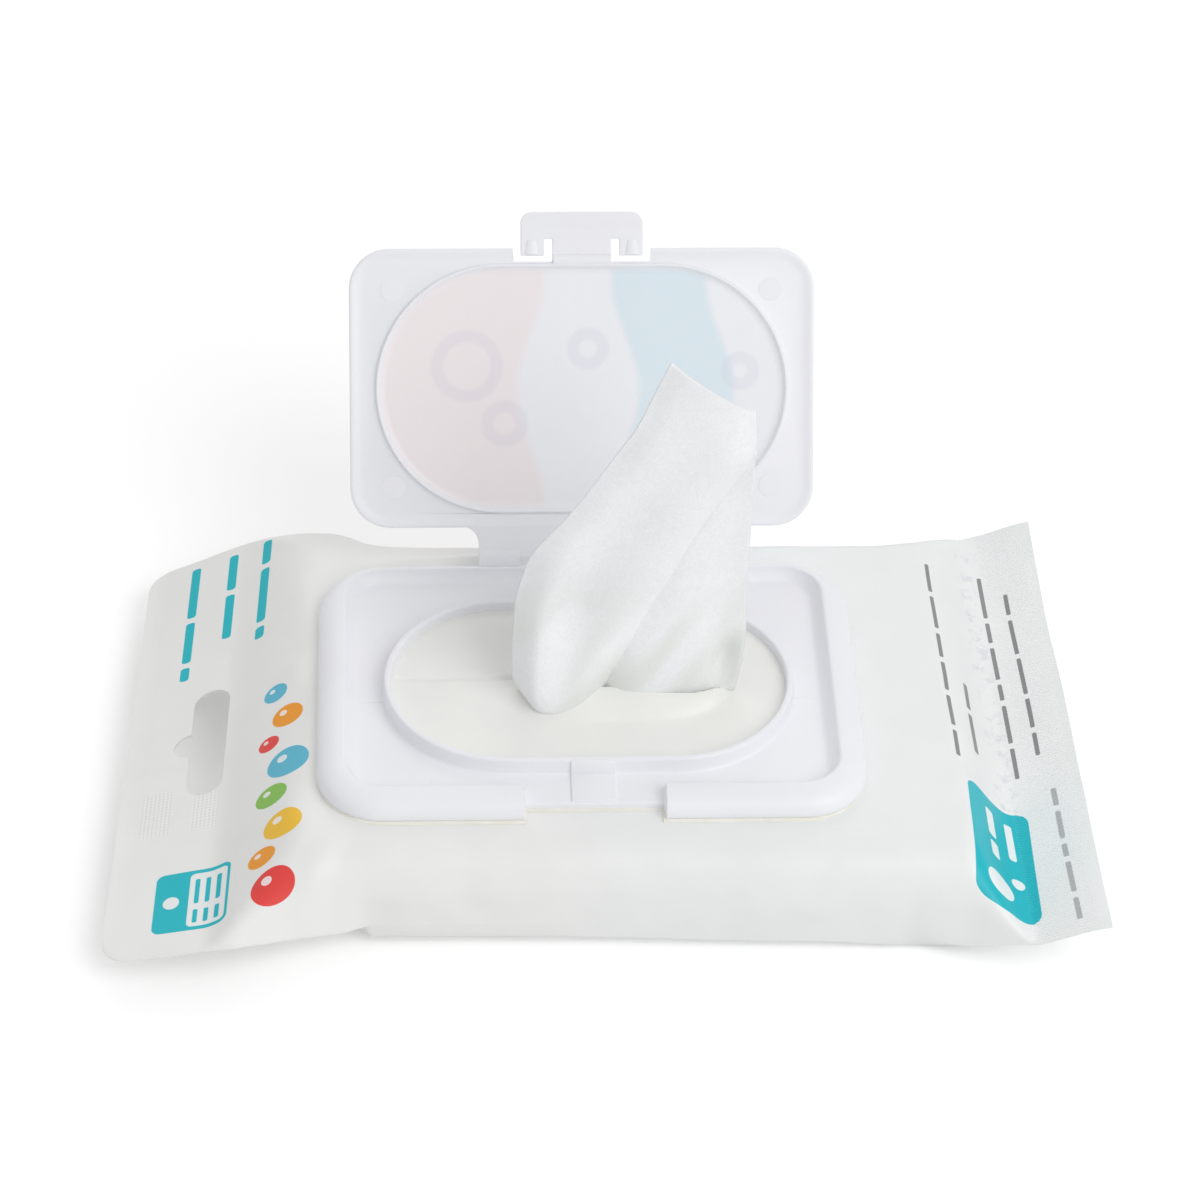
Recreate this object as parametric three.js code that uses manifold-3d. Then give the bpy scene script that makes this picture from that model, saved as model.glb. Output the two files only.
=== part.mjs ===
// Wet wipes pack: a flow-wrapped film pouch with a hang header, a moulded flip-top lid glued over
// the die-cut slot in the film, the stack of folded wipes inside, and one wipe pulled up through the slot.
// Millimetres, +Z up. The origin lies on the pouch's underside, below the middle of the lid frame.
import * as THREE from 'three';
import { mergeVertices } from 'three/addons/utils/BufferGeometryUtils.js';
import Module from 'manifold-3d';

// Stack of wipes, each folded once
const STACK_LENGTH = 100;
const STACK_WIDTH = 75;
const STACK_HEIGHT = 18.2;
const STACK_CORNER = 3;
const STACK_SOFT = 1;
const SEAT_GAP = 0.3;

// Film pouch: a tube of film, full round the stack and pressed flat at both ends. The pressed edges run
// on into the body as side fins. Their heights are shares of the pack's height at the header's end and
// inner line, at the ends of the left and right fins, and at the crimp's inner line and end.
const FILM = 0.4;
const SIDE_SLACK = 2.6;
const END_SLACK = 3.8;
const EDGE_RADIUS = 4;
const FRAME_MARGIN = 0.8;
const FIN_RUN = 19;
const FIN_SEAL = 1.8;
const HEADER_SLOPE = 10.4;
const HEADER_LENGTH = 21.7;
const HEADER_CORNER = 4.5;
const HEADER_SLANT = 0.049;
const CRIMP_SLOPE = 10.5;
const CRIMP_LENGTH = 11.4;
const CRIMP_SLANT = -0.036;
const SLOPE_CROWN = 1.4;
const FRONT_EDGE_RISE = [0.29, 0.46, 0.27, 0.17, 0.39, 0.59];
const BACK_EDGE_RISE = [0.29, 0.745, 0.88, 0.765, 0.64, 0.825];

// Hang hole of the header: a long slot with a round bump for a single peg
const HANG_LENGTH = 25;
const HANG_WIDTH = 6.2;
const HANG_BUMP_RADIUS = 2.7;
const HANG_BUMP_REACH = 2.8;
const HANG_FROM_END = 14.1;

// Die-cut slot in the top film
const SLOT_LENGTH = 42;
const SLOT_WIDTH = 9;
const SLOT_CENTRE_X = 6;

// Lid frame: rim, sunken tray and the oval collar that the closed lid seals round
const ADHESIVE = 0.3;
const ADHESIVE_INSET = 0.7;
const FRAME_WIDTH = 92;
const FRAME_DEPTH = 61.4;
const FRAME_RADIUS = 11;
const RIM_HEIGHT = 3.6;
const RIM_SIDE = 5.15;
const RIM_FRONT = 5.65;
const RIM_BACK = 1.7;
const RECESS_RADIUS = 6.3;
const TRAY = 1.2;
const COLLAR_WIDTH = 69.8;
const COLLAR_DEPTH = 41.4;
const COLLAR_WALL = 1.3;
const COLLAR_HEIGHT = 4.2;
const NOTCH_WIDTH = 23.2;
const NOTCH_CUTBACK = 2.8;
const RIM_ROUND = 2.3;
const RECESS_ROUND = 1.2;
const FOOT_ROUND = 0.5;
const COLLAR_ROUND = 0.4;
const COLLAR_DRAFT = 0.15;
const CATCH_WIDTH = 7.5;
const CATCH_REACH = 1.4;
const CATCH_HEIGHT = 3;
const CATCH_STRIP = 0.35;

// Living hinge: two thin webs on the back rim
const HINGE_ABOVE_RIM = 0.9;
const HINGE_FROM_BACK = 0.6;
const WEB_THICKNESS = 0.5;
const WEB_INNER = 10.9;
const TONGUE_WIDTH = 36.2;
const TONGUE_LENGTH = 5.9;
const TONGUE_GAP = 0.6;
const TONGUE_FILLET = 3;

// Lid: plate with a low turned-down edge that ends level with the rim, a sealing ring and a thumb tab
const LID_PLAY_SIDE = 0.5;
const LID_PLAY_FRONT = 0.75;
const LID_RADIUS = 7;
const LID_WALL = 1.1;
const LID_CROWN = 0.5;
const RING_PLAY = 0.35;
const RING_WALL = 0.8;
const RING_HEIGHT = 1.2;
const RING_DRAFT = 0.1;
const LID_ROUND = 0.9;
const SKIRT_ROUND = 0.7;
const SKIRT_DRAFT = 0.15;
const TAB_NOTCH_WIDTH = 23.8;
const TAB_NOTCH_DEPTH = 2.1;
const TAB_WIDTH = 21.2;
const TAB_STEM = 10.2;
const TAB_LEG = 4.1;
const TAB_LEG_LENGTH = 2.95;
const TAB_HEAD = 1.8;
const TAB_LIP = 2.8;
const TAB_LIP_TILT = 16;
const TAB_START = 1.6;
const TAB_CORNER = 2;
const OPEN_ANGLE = 124;

// Printed label in a shallow recess on the outside of the lid
const LABEL_WIDTH = 68;
const LABEL_DEPTH = 39;
const LABEL_THICKNESS = 0.25;
const LABEL_RECESS = 0.4;

// Pulled wipe: a doubled sheet that leaves the slot gathered, fans out and leans to the right.
// Each edge runs up through points given as distance inside the slot's end and share of the rise.
const WIPE_THICKNESS = 1.1;
const WIPE_RISE = 71;
const WIPE_LEFT_EDGE = [[7, 0], [2.4, 0.1], [2, 0.28], [6, 0.47], [17, 0.7], [26.8, 1]];
const WIPE_RIGHT_EDGE = [[3, 0], [1.4, 0.1], [0.9, 0.26], [0.7, 0.43], [0.6, 0.64], [1.2, 0.87]];
const WIPE_FOOT_Y = -0.6;
const WIPE_LEAN = 2.1;
const WIPE_BILLOW = 2.7;
const WIPE_WAVES = 1.1;
const WIPE_WAVE_START = -0.175;
const WIPE_ROWS = 11;
const WIPE_COLUMNS = 10;

// How far a cut reaches past the face that it opens, and the step where a joined piece meets the plate
const CUT_OVER = 1;
const JOIN_STEP = 0.08;

// Number of steps round a quarter turn
const ARC_STEPS = 8;
const EDGE_STEPS = 2;
const FILM_ARC_STEPS = 3;
// Short straight left at the ends of an oval, so that its corner arcs don't meet in one point
const OVAL_FLAT = 0.01;

// Sizes that follow from the ones above
const PACK_HEIGHT = STACK_HEIGHT + 2 * (FILM + SEAT_GAP);
const BODY_WIDTH = STACK_WIDTH + 2 * (SIDE_SLACK + FILM);
const FLAT_WIDTH = BODY_WIDTH + PACK_HEIGHT - (4 - Math.PI) * EDGE_RADIUS;
const BODY_LEFT = -FRAME_WIDTH / 2 - FRAME_MARGIN;
const BODY_RIGHT = BODY_LEFT + STACK_LENGTH + 2 * END_SLACK;
const HEADER_INNER = BODY_LEFT - HEADER_SLOPE;
const HEADER_END = HEADER_INNER - HEADER_LENGTH;
const CRIMP_INNER = BODY_RIGHT + CRIMP_SLOPE;
const CRIMP_END = CRIMP_INNER + CRIMP_LENGTH;
const FRAME_BASE = PACK_HEIGHT + ADHESIVE;
const RECESS_HALF = FRAME_WIDTH / 2 - RIM_SIDE;
const RECESS_FRONT = -FRAME_DEPTH / 2 + RIM_FRONT;
const RECESS_BACK = FRAME_DEPTH / 2 - RIM_BACK;
const HINGE_Y = FRAME_DEPTH / 2 - HINGE_FROM_BACK;
const HINGE_Z = FRAME_BASE + RIM_HEIGHT + HINGE_ABOVE_RIM;
const LID_HALF = RECESS_HALF - LID_PLAY_SIDE;
const LID_FRONT = RECESS_FRONT + LID_PLAY_FRONT - HINGE_Y;
const LID_BACK = -TONGUE_LENGTH;
const SKIRT = HINGE_ABOVE_RIM;
const COLLAR_Y = -HINGE_Y;

const wasm = await Module();
wasm.setup();

// A closed three.js geometry as a solid for joining and cutting
function solid(geometry) {
  const bare = geometry.index ? geometry.toNonIndexed() : geometry.clone();
  bare.deleteAttribute('normal');
  bare.deleteAttribute('uv');
  const merged = mergeVertices(bare, 1e-5);
  const vertProperties = new Float32Array(merged.attributes.position.array);
  const triVerts = new Uint32Array(merged.index.array);
  return new wasm.Manifold(new wasm.Mesh({ numProp: 3, vertProperties, triVerts }));
}

function geometryOf(manifold) {
  const { vertProperties, triVerts } = manifold.getMesh();
  const geometry = new THREE.BufferGeometry();
  geometry.setAttribute('position', new THREE.BufferAttribute(vertProperties, 3));
  geometry.setIndex(new THREE.BufferAttribute(triVerts, 1));
  geometry.computeVertexNormals();
  return geometry;
}

function block(x0, x1, y0, y1, z0, z1) {
  const geometry = new THREE.BoxGeometry(x1 - x0, y1 - y0, z1 - z0);
  geometry.translate((x0 + x1) / 2, (y0 + y1) / 2, (z0 + z1) / 2);
  return solid(geometry);
}

function extrude(shape, z0, z1) {
  const options = { depth: z1 - z0, bevelEnabled: false, curveSegments: ARC_STEPS };
  const geometry = new THREE.ExtrudeGeometry(shape, options);
  geometry.translate(0, 0, z0);
  return geometry;
}

// Points of a rounded rectangle, counter-clockwise, with the same count for every size
function roundedOutline(left, right, low, high, radius, steps) {
  const corners = [
    [right - radius, low + radius, -90],
    [right - radius, high - radius, 0],
    [left + radius, high - radius, 90],
    [left + radius, low + radius, 180],
  ];
  const points = [];
  for (const [cx, cy, start] of corners) {
    for (let i = 0; i <= steps; i += 1) {
      const angle = THREE.MathUtils.degToRad(start + (90 * i) / steps);
      points.push(new THREE.Vector2(cx + radius * Math.cos(angle), cy + radius * Math.sin(angle)));
    }
  }
  return points;
}

// A level ring of a loft: half-width, front and back edge, corner radius, height
function level(half, front, back, radius, z) {
  const outline = roundedOutline(-half, half, front, back, radius, ARC_STEPS);
  return outline.map((p) => new THREE.Vector3(p.x, p.y, z));
}

function stadium(width, depth, centreY, z) {
  return level(width / 2, centreY - depth / 2, centreY + depth / 2, depth / 2 - OVAL_FLAT, z);
}

// Skin over a row of loops with equal counts: capped at both ends, or closed into a ring
function loft(loops, flatten) {
  const count = loops[0].length;
  const positions = loops.flat().flatMap((p) => [p.x, p.y, p.z]);
  const index = [];
  const bands = flatten ? loops.length - 1 : loops.length;
  for (let k = 0; k < bands; k += 1) {
    const low = k * count;
    const high = ((k + 1) % loops.length) * count;
    for (let i = 0; i < count; i += 1) {
      const j = (i + 1) % count;
      index.push(low + i, low + j, high + j, low + i, high + j, high + i);
    }
  }
  if (flatten) {
    const top = (loops.length - 1) * count;
    for (const [a, b, c] of THREE.ShapeUtils.triangulateShape(loops[0].map(flatten), [])) {
      index.push(c, b, a);
    }
    for (const [a, b, c] of THREE.ShapeUtils.triangulateShape(loops.at(-1).map(flatten), [])) {
      index.push(top + a, top + b, top + c);
    }
  }
  const geometry = new THREE.BufferGeometry();
  geometry.setAttribute('position', new THREE.Float32BufferAttribute(positions, 3));
  geometry.setIndex(index);
  return geometry;
}

const fromAbove = (p) => new THREE.Vector2(p.x, p.y);
const fromRight = (p) => new THREE.Vector2(p.y, p.z);

// How far a run from a flat end towards the body has come, from 0 at the flat end to 1
function shareOf(x, run) {
  const distance = x < 0 ? x - HEADER_INNER : CRIMP_INNER - x;
  return THREE.MathUtils.clamp(distance / run, 0, 1);
}

// A corner rounded off as a curve from one edge to the next
function softCorner(from, corner, to, radius) {
  const towards = (p) => corner.clone().lerp(p, Math.min(0.45, radius / corner.distanceTo(p)));
  return new THREE.QuadraticBezierCurve(towards(from), corner, towards(to)).getPoints(FILM_ARC_STEPS);
}

// Height of a pressed edge at x, read off its row of rises
function edgeHeight(rises, x) {
  const finEnds = [HEADER_INNER + FIN_RUN, CRIMP_INNER - FIN_RUN];
  const places = [HEADER_END, HEADER_INNER, ...finEnds, CRIMP_INNER, CRIMP_END];
  const next = Math.max(1, places.findIndex((place) => x <= place));
  const share = (x - places[next - 1]) / (places[next] - places[next - 1]);
  return PACK_HEIGHT * THREE.MathUtils.lerp(rises[next - 1], rises[next], share);
}

// One section of the pouch at x: bottom and top faces that meet the side fins at the pressed edges
function pouchSection(x, inset = 0, narrow = 0) {
  const left = x < 0;
  const open = shareOf(x, left ? HEADER_SLOPE : CRIMP_SLOPE);
  const fin = shareOf(x, FIN_RUN);
  const fill = 1 - (1 - open) ** SLOPE_CROWN;
  const front = edgeHeight(FRONT_EDGE_RISE, x);
  const back = edgeHeight(BACK_EDGE_RISE, x);
  const finHalf = THREE.MathUtils.lerp(FLAT_WIDTH, BODY_WIDTH, fin) / 2 - narrow;
  const faceHalf = THREE.MathUtils.lerp(FLAT_WIDTH, BODY_WIDTH, open) / 2 - narrow - inset;
  const tipHalf = inset ? Math.max(faceHalf, finHalf - FIN_SEAL) : finHalf;
  const radius = EDGE_RADIUS * Math.max(fill, 0.1);
  const halfSection = (edge) => {
    const pressed = (y) => THREE.MathUtils.lerp((front + back) / 2, edge, y / finHalf);
    const opened = (y, ply, face) => THREE.MathUtils.lerp(pressed(y) + ply, face, fill);
    const low = (y) => new THREE.Vector2(y, opened(y, -FILM, 0) + inset);
    const high = (y) => new THREE.Vector2(y, opened(y, FILM, PACK_HEIGHT) - inset);
    const tip = (z) => new THREE.Vector2(tipHalf, pressed(tipHalf) + z);
    return [
      ...softCorner(low(0), low(faceHalf), tip(-FILM / 2), radius),
      tip(-FILM / 2),
      tip(FILM / 2),
      ...softCorner(tip(FILM / 2), high(faceHalf), high(0), radius),
    ];
  };
  const frontHalf = halfSection(front).map((p) => new THREE.Vector2(-p.x, p.y)).reverse();
  const slant = (left ? HEADER_SLANT : CRIMP_SLANT) * (1 - fin);
  return [...halfSection(back), ...frontHalf].map((p) => new THREE.Vector3(x + slant * p.x, p.x, p.y));
}

// Places along the pouch where its sections stand, from the header's slope to the crimp's
function slopeStations(shares) {
  const header = shares.map((share) => HEADER_INNER + HEADER_SLOPE * share);
  const crimp = shares.map((share) => CRIMP_INNER - CRIMP_SLOPE * share);
  const finEnds = [HEADER_INNER + FIN_RUN, CRIMP_INNER - FIN_RUN];
  return [...header, ...crimp, ...finEnds].sort((a, b) => a - b);
}

// The flat header's end, drawn in over its rounded corners
function headerEnd() {
  return [90, 60, 30, 0].map((turn) => {
    const angle = THREE.MathUtils.degToRad(turn);
    const x = HEADER_END + HEADER_CORNER * (1 - Math.sin(angle));
    return pouchSection(x, 0, HEADER_CORNER * (1 - Math.cos(angle)));
  });
}

function hangHole() {
  const x = HEADER_END + HANG_FROM_END;
  const half = HANG_WIDTH / 2;
  const reach = HANG_LENGTH / 2 - half;
  const shape = new THREE.Shape();
  shape.moveTo(x + half, -reach);
  shape.lineTo(x + half, reach);
  shape.absarc(x, reach, half, 0, Math.PI, false);
  shape.lineTo(x - half, -reach);
  shape.absarc(x, -reach, half, Math.PI, 2 * Math.PI, false);
  const bumpX = x - half - HANG_BUMP_REACH + HANG_BUMP_RADIUS;
  const bump = new THREE.Shape();
  bump.absarc(bumpX, 0, HANG_BUMP_RADIUS, 0, 2 * Math.PI, false);
  return solid(extrude(shape, 0, PACK_HEIGHT)).add(solid(extrude(bump, 0, PACK_HEIGHT)));
}

function ovalShape(width, depth, x, y) {
  const [a, b] = [width / 2, depth / 2];
  return new THREE.Shape(roundedOutline(x - a, x + a, y - b, y + b, b - OVAL_FLAT, ARC_STEPS));
}

function pouchFilm() {
  const outer = [
    ...headerEnd(),
    ...slopeStations([0, 0.2, 0.45, 0.7, 0.88, 1]).map((x) => pouchSection(x)),
    pouchSection(CRIMP_END),
  ];
  const inner = slopeStations([0.2, 0.45, 0.7, 0.88, 1]).map((x) => pouchSection(x, FILM));
  const opening = ovalShape(SLOT_LENGTH, SLOT_WIDTH, SLOT_CENTRE_X, 0);
  const slot = solid(extrude(opening, PACK_HEIGHT - 2 * FILM, PACK_HEIGHT + FILM));
  const film = solid(loft(outer, fromRight)).subtract(solid(loft(inner, fromRight)));
  return geometryOf(film.subtract(slot).subtract(hangHole()));
}

function wipeStack() {
  const left = BODY_LEFT + END_SLACK;
  const right = left + STACK_LENGTH;
  const half = STACK_WIDTH / 2;
  const base = FILM + SEAT_GAP;
  const ring = (way, z) => {
    const outline = roundedOutline(left + way, right - way, way - half, half - way, STACK_CORNER, EDGE_STEPS);
    return outline.map((p) => new THREE.Vector3(p.x, p.y, base + z));
  };
  return loft([
    ring(STACK_SOFT, 0),
    ring(0, STACK_SOFT),
    ring(0, STACK_HEIGHT - STACK_SOFT),
    ring(STACK_SOFT, STACK_HEIGHT),
  ], fromAbove);
}

// One edge of the pulled wipe: a curve up from the stack, measured from an end of the slot
function wipeEdge(points, side) {
  const base = FILM + STACK_HEIGHT + 2 * SEAT_GAP;
  const end = SLOT_CENTRE_X + (side * SLOT_LENGTH) / 2;
  const place = ([inside, rise]) => new THREE.Vector2(end - side * inside, base + rise * WIPE_RISE);
  return new THREE.SplineCurve(points.map(place));
}

// One row of the pulled wipe, from its left to its right edge, as a closed thin loop
function wipeRow(left, right, share) {
  const front = [];
  const back = [];
  const swell = Math.min(1, 0.15 + 2.2 * share) * (0.45 + 0.55 * Math.sin(Math.PI * share));
  for (let i = 0; i <= WIPE_COLUMNS; i += 1) {
    const across = i / WIPE_COLUMNS;
    const { x, y: z } = left.clone().lerp(right, across);
    const wave = Math.cos(2 * Math.PI * (WIPE_WAVES * across + WIPE_WAVE_START));
    const y = WIPE_FOOT_Y + WIPE_LEAN * share - WIPE_BILLOW * swell * wave;
    front.push(new THREE.Vector3(x, y - WIPE_THICKNESS / 2, z));
    back.unshift(new THREE.Vector3(x, y + WIPE_THICKNESS / 2, z));
  }
  return [...front, ...back];
}

function pulledWipe() {
  const left = wipeEdge(WIPE_LEFT_EDGE, -1);
  const right = wipeEdge(WIPE_RIGHT_EDGE, 1);
  const rows = [];
  for (let k = 0; k < WIPE_ROWS; k += 1) {
    const share = k / (WIPE_ROWS - 1);
    rows.push(wipeRow(left.getPoint(share), right.getPoint(share), share));
  }
  return loft(rows, fromAbove);
}

function adhesiveRing() {
  const half = FRAME_WIDTH / 2 - ADHESIVE_INSET;
  const edge = FRAME_DEPTH / 2 - ADHESIVE_INSET;
  const outline = roundedOutline(-half, half, -edge, edge, FRAME_RADIUS - ADHESIVE_INSET, ARC_STEPS);
  const shape = new THREE.Shape(outline);
  const open = 2 * (COLLAR_WALL - ADHESIVE_INSET);
  const hole = ovalShape(COLLAR_WIDTH - open, COLLAR_DEPTH - open, 0, 0);
  shape.holes.push(new THREE.Path(hole.getPoints().reverse()));
  return extrude(shape, PACK_HEIGHT, FRAME_BASE);
}

// Steps over a rounded edge, from its side to its top, as [way in from the side, drop below the top]
function edgeRound(radius) {
  const steps = [];
  for (let i = 0; i <= EDGE_STEPS; i += 1) {
    const angle = (Math.PI / 2) * (i / EDGE_STEPS);
    steps.push([radius * (1 - Math.cos(angle)), radius * (1 - Math.sin(angle))]);
  }
  return steps;
}

// Frame ring: from the outer foot up over the rim, down to the tray, over the collar and back below.
// The back rim is thinner than the front one, so its roundings shrink by the same ratio.
function frameRing() {
  const half = FRAME_WIDTH / 2;
  const edge = FRAME_DEPTH / 2;
  const ease = RIM_BACK / RIM_FRONT;
  const bore = COLLAR_WALL;
  const outer = (way, z) => {
    return level(half - way, -edge + way, edge - way * ease, FRAME_RADIUS - way, FRAME_BASE + z);
  };
  const recess = (way, z) => {
    const back = RECESS_BACK + way * ease;
    return level(RECESS_HALF + way, RECESS_FRONT - way, back, RECESS_RADIUS + way, FRAME_BASE + z);
  };
  const collar = (way, z) => {
    return stadium(COLLAR_WIDTH - 2 * way, COLLAR_DEPTH - 2 * way, 0, FRAME_BASE + z);
  };
  return solid(loft([
    outer(0, 0),
    ...edgeRound(RIM_ROUND).map(([way, drop]) => outer(way, RIM_HEIGHT - drop)),
    ...edgeRound(RECESS_ROUND).reverse().map(([way, drop]) => recess(way, RIM_HEIGHT - drop)),
    ...edgeRound(FOOT_ROUND).map(([way, drop]) => recess(-way, TRAY + drop)),
    ...edgeRound(FOOT_ROUND).reverse().map(([way, drop]) => collar(-way, TRAY + drop)),
    ...edgeRound(COLLAR_ROUND).map(([way, drop]) => collar(COLLAR_DRAFT + way, COLLAR_HEIGHT - drop)),
    ...edgeRound(COLLAR_ROUND).reverse().map(([way, drop]) => collar(bore - way, COLLAR_HEIGHT - drop)),
    collar(bore, 0),
  ]));
}

function lidFrame() {
  const front = -FRAME_DEPTH / 2;
  const notch = NOTCH_WIDTH / 2;
  const sill = front + NOTCH_CUTBACK;
  const above = FRAME_BASE + COLLAR_HEIGHT;
  const floor = FRAME_BASE + TRAY;
  const finger = block(-notch, notch, front - CUT_OVER, sill, FRAME_BASE - CUT_OVER, above);
  const gate = block(-notch, notch, front - CUT_OVER, RECESS_FRONT + CUT_OVER, floor, above);
  const grip = CATCH_WIDTH / 2;
  const face = -COLLAR_DEPTH / 2;
  const sunk = floor - TRAY / 2;
  const nub = block(-grip, grip, face - CATCH_REACH, face + COLLAR_WALL / 2, sunk, FRAME_BASE + CATCH_HEIGHT);
  const strip = block(-grip, grip, sill, face, sunk, floor + CATCH_STRIP);
  let frame = frameRing().subtract(finger).subtract(gate).add(nub).add(strip);
  const webBack = HINGE_Y + WEB_THICKNESS / 2;
  const webFoot = FRAME_BASE + RIM_HEIGHT / 2;
  for (const side of [-1, 1]) {
    const [x0, x1] = [side * WEB_INNER, (side * TONGUE_WIDTH) / 2].sort((a, b) => a - b);
    frame = frame.add(block(x0, x1, webBack - WEB_THICKNESS, webBack, webFoot, HINGE_Z));
  }
  return geometryOf(frame);
}

// Lid in its closed place, measured from the hinge axis: from the ring's inside under the plate, out over
// the skirt, up round the edge and in to the floor of the label's recess
function lidCover() {
  const middle = (LID_FRONT + LID_BACK) / 2;
  const plate = (way, z) => {
    return level(LID_HALF - way, LID_FRONT + way, LID_BACK - way, LID_RADIUS - way, z);
  };
  const ringWidth = COLLAR_WIDTH + 2 * RING_PLAY;
  const ringDepth = COLLAR_DEPTH + 2 * RING_PLAY;
  const ring = (way, z) => stadium(ringWidth + 2 * way, ringDepth + 2 * way, COLLAR_Y, z);
  const seat = (z) => stadium(LABEL_WIDTH + 2 * SEAT_GAP, LABEL_DEPTH + 2 * SEAT_GAP, middle, z);
  const crown = LID_WALL + LID_CROWN;
  const cover = solid(loft([
    ring(0, 0),
    ring(RING_DRAFT, -RING_HEIGHT),
    ring(RING_WALL - RING_DRAFT, -RING_HEIGHT),
    ring(RING_WALL, 0),
    ...edgeRound(SKIRT_ROUND).reverse().map(([way, drop]) => plate(LID_WALL + way, -drop)),
    plate(LID_WALL - SKIRT_DRAFT, -SKIRT),
    plate(SKIRT_DRAFT, -SKIRT),
    ...edgeRound(LID_ROUND).map(([way, drop]) => plate(way, LID_WALL - drop)),
    seat(crown),
    seat(crown - LABEL_RECESS),
  ], fromAbove));
  const gap = TAB_NOTCH_WIDTH / 2;
  const notchEnd = LID_FRONT + TAB_NOTCH_DEPTH;
  const opening = block(-gap, gap, LID_FRONT - CUT_OVER, notchEnd, -SKIRT - CUT_OVER, crown + CUT_OVER);
  return geometryOf(cover.subtract(opening).add(hingeTongue()).add(thumbTab()));
}

function hingeTongue() {
  const half = TONGUE_WIDTH / 2;
  const root = LID_BACK - LID_ROUND - CUT_OVER;
  const turn = LID_BACK + TONGUE_FILLET;
  const shape = new THREE.Shape();
  shape.moveTo(-half - TONGUE_FILLET, root);
  shape.lineTo(half + TONGUE_FILLET, root);
  shape.lineTo(half + TONGUE_FILLET, LID_BACK);
  shape.absarc(half + TONGUE_FILLET, turn, TONGUE_FILLET, -Math.PI / 2, -Math.PI, true);
  shape.lineTo(half, -TONGUE_GAP);
  shape.lineTo(-half, -TONGUE_GAP);
  shape.lineTo(-half, turn);
  shape.absarc(-half - TONGUE_FILLET, turn, TONGUE_FILLET, 0, -Math.PI / 2, true);
  return solid(extrude(shape, 0, LID_WALL - JOIN_STEP));
}

function thumbTab() {
  const half = TAB_WIDTH / 2;
  const stem = TAB_STEM / 2;
  const leg = half - TAB_LEG;
  const root = LID_FRONT + TAB_NOTCH_DEPTH + CUT_OVER;
  const shoulder = LID_FRONT - TAB_START;
  const fold = shoulder - TAB_HEAD;
  const toe = shoulder + TAB_LEG_LENGTH;
  const outline = [
    [-half, fold], [half, fold], [half, toe], [leg, toe], [leg, shoulder], [stem, shoulder],
    [stem, root], [-stem, root], [-stem, shoulder], [-leg, shoulder], [-leg, toe], [-half, toe],
  ];
  const shape = new THREE.Shape(outline.map(([x, y]) => new THREE.Vector2(x, y)));
  const tab = solid(extrude(shape, JOIN_STEP, LID_WALL - JOIN_STEP));
  const lipShape = new THREE.Shape();
  lipShape.moveTo(half, TAB_HEAD / 4);
  lipShape.lineTo(-half, TAB_HEAD / 4);
  lipShape.lineTo(-half, TAB_CORNER - TAB_LIP);
  lipShape.absarc(TAB_CORNER - half, TAB_CORNER - TAB_LIP, TAB_CORNER, Math.PI, 1.5 * Math.PI, false);
  lipShape.absarc(half - TAB_CORNER, TAB_CORNER - TAB_LIP, TAB_CORNER, 1.5 * Math.PI, 2 * Math.PI, false);
  const lip = extrude(lipShape, JOIN_STEP, LID_WALL - JOIN_STEP);
  lip.rotateX(-THREE.MathUtils.degToRad(TAB_LIP_TILT));
  lip.translate(0, fold, 0);
  return tab.add(solid(lip));
}

function lidLabel() {
  const middle = (LID_FRONT + LID_BACK) / 2;
  const floor = LID_WALL + LID_CROWN - LABEL_RECESS;
  const shape = ovalShape(LABEL_WIDTH, LABEL_DEPTH, 0, middle);
  return extrude(shape, floor + SEAT_GAP, floor + SEAT_GAP + LABEL_THICKNESS);
}

function plastic(color, roughness) {
  return new THREE.MeshStandardMaterial({ color, roughness, metalness: 0 });
}

function piece(name, geometry, material) {
  const mesh = new THREE.Mesh(geometry, material);
  mesh.name = name;
  return mesh;
}

const filmWhite = plastic(0xecedea, 0.42);
const wipeWhite = plastic(0xf4f6f6, 0.95);
const lidWhite = plastic(0xecebf3, 0.38);
const glueCream = plastic(0xebe6d6, 0.6);
const labelPrint = plastic(0xd5e8ee, 0.45);

const lid = new THREE.Group();
lid.position.set(0, HINGE_Y, HINGE_Z);
lid.rotation.x = -THREE.MathUtils.degToRad(OPEN_ANGLE);
lid.add(piece('lid_cover', lidCover(), lidWhite), piece('lid_label', lidLabel(), labelPrint));

const pack = new THREE.Group();
pack.add(
  piece('pouch_film', pouchFilm(), filmWhite),
  piece('wipe_stack', wipeStack(), wipeWhite),
  piece('pulled_wipe', pulledWipe(), wipeWhite),
  piece('adhesive_ring', adhesiveRing(), glueCream),
  piece('lid_frame', lidFrame(), lidWhite),
  lid,
);

export default pack;
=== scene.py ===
import math

import bmesh
import bpy
from mathutils import Matrix, Quaternion, Vector, noise


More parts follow.
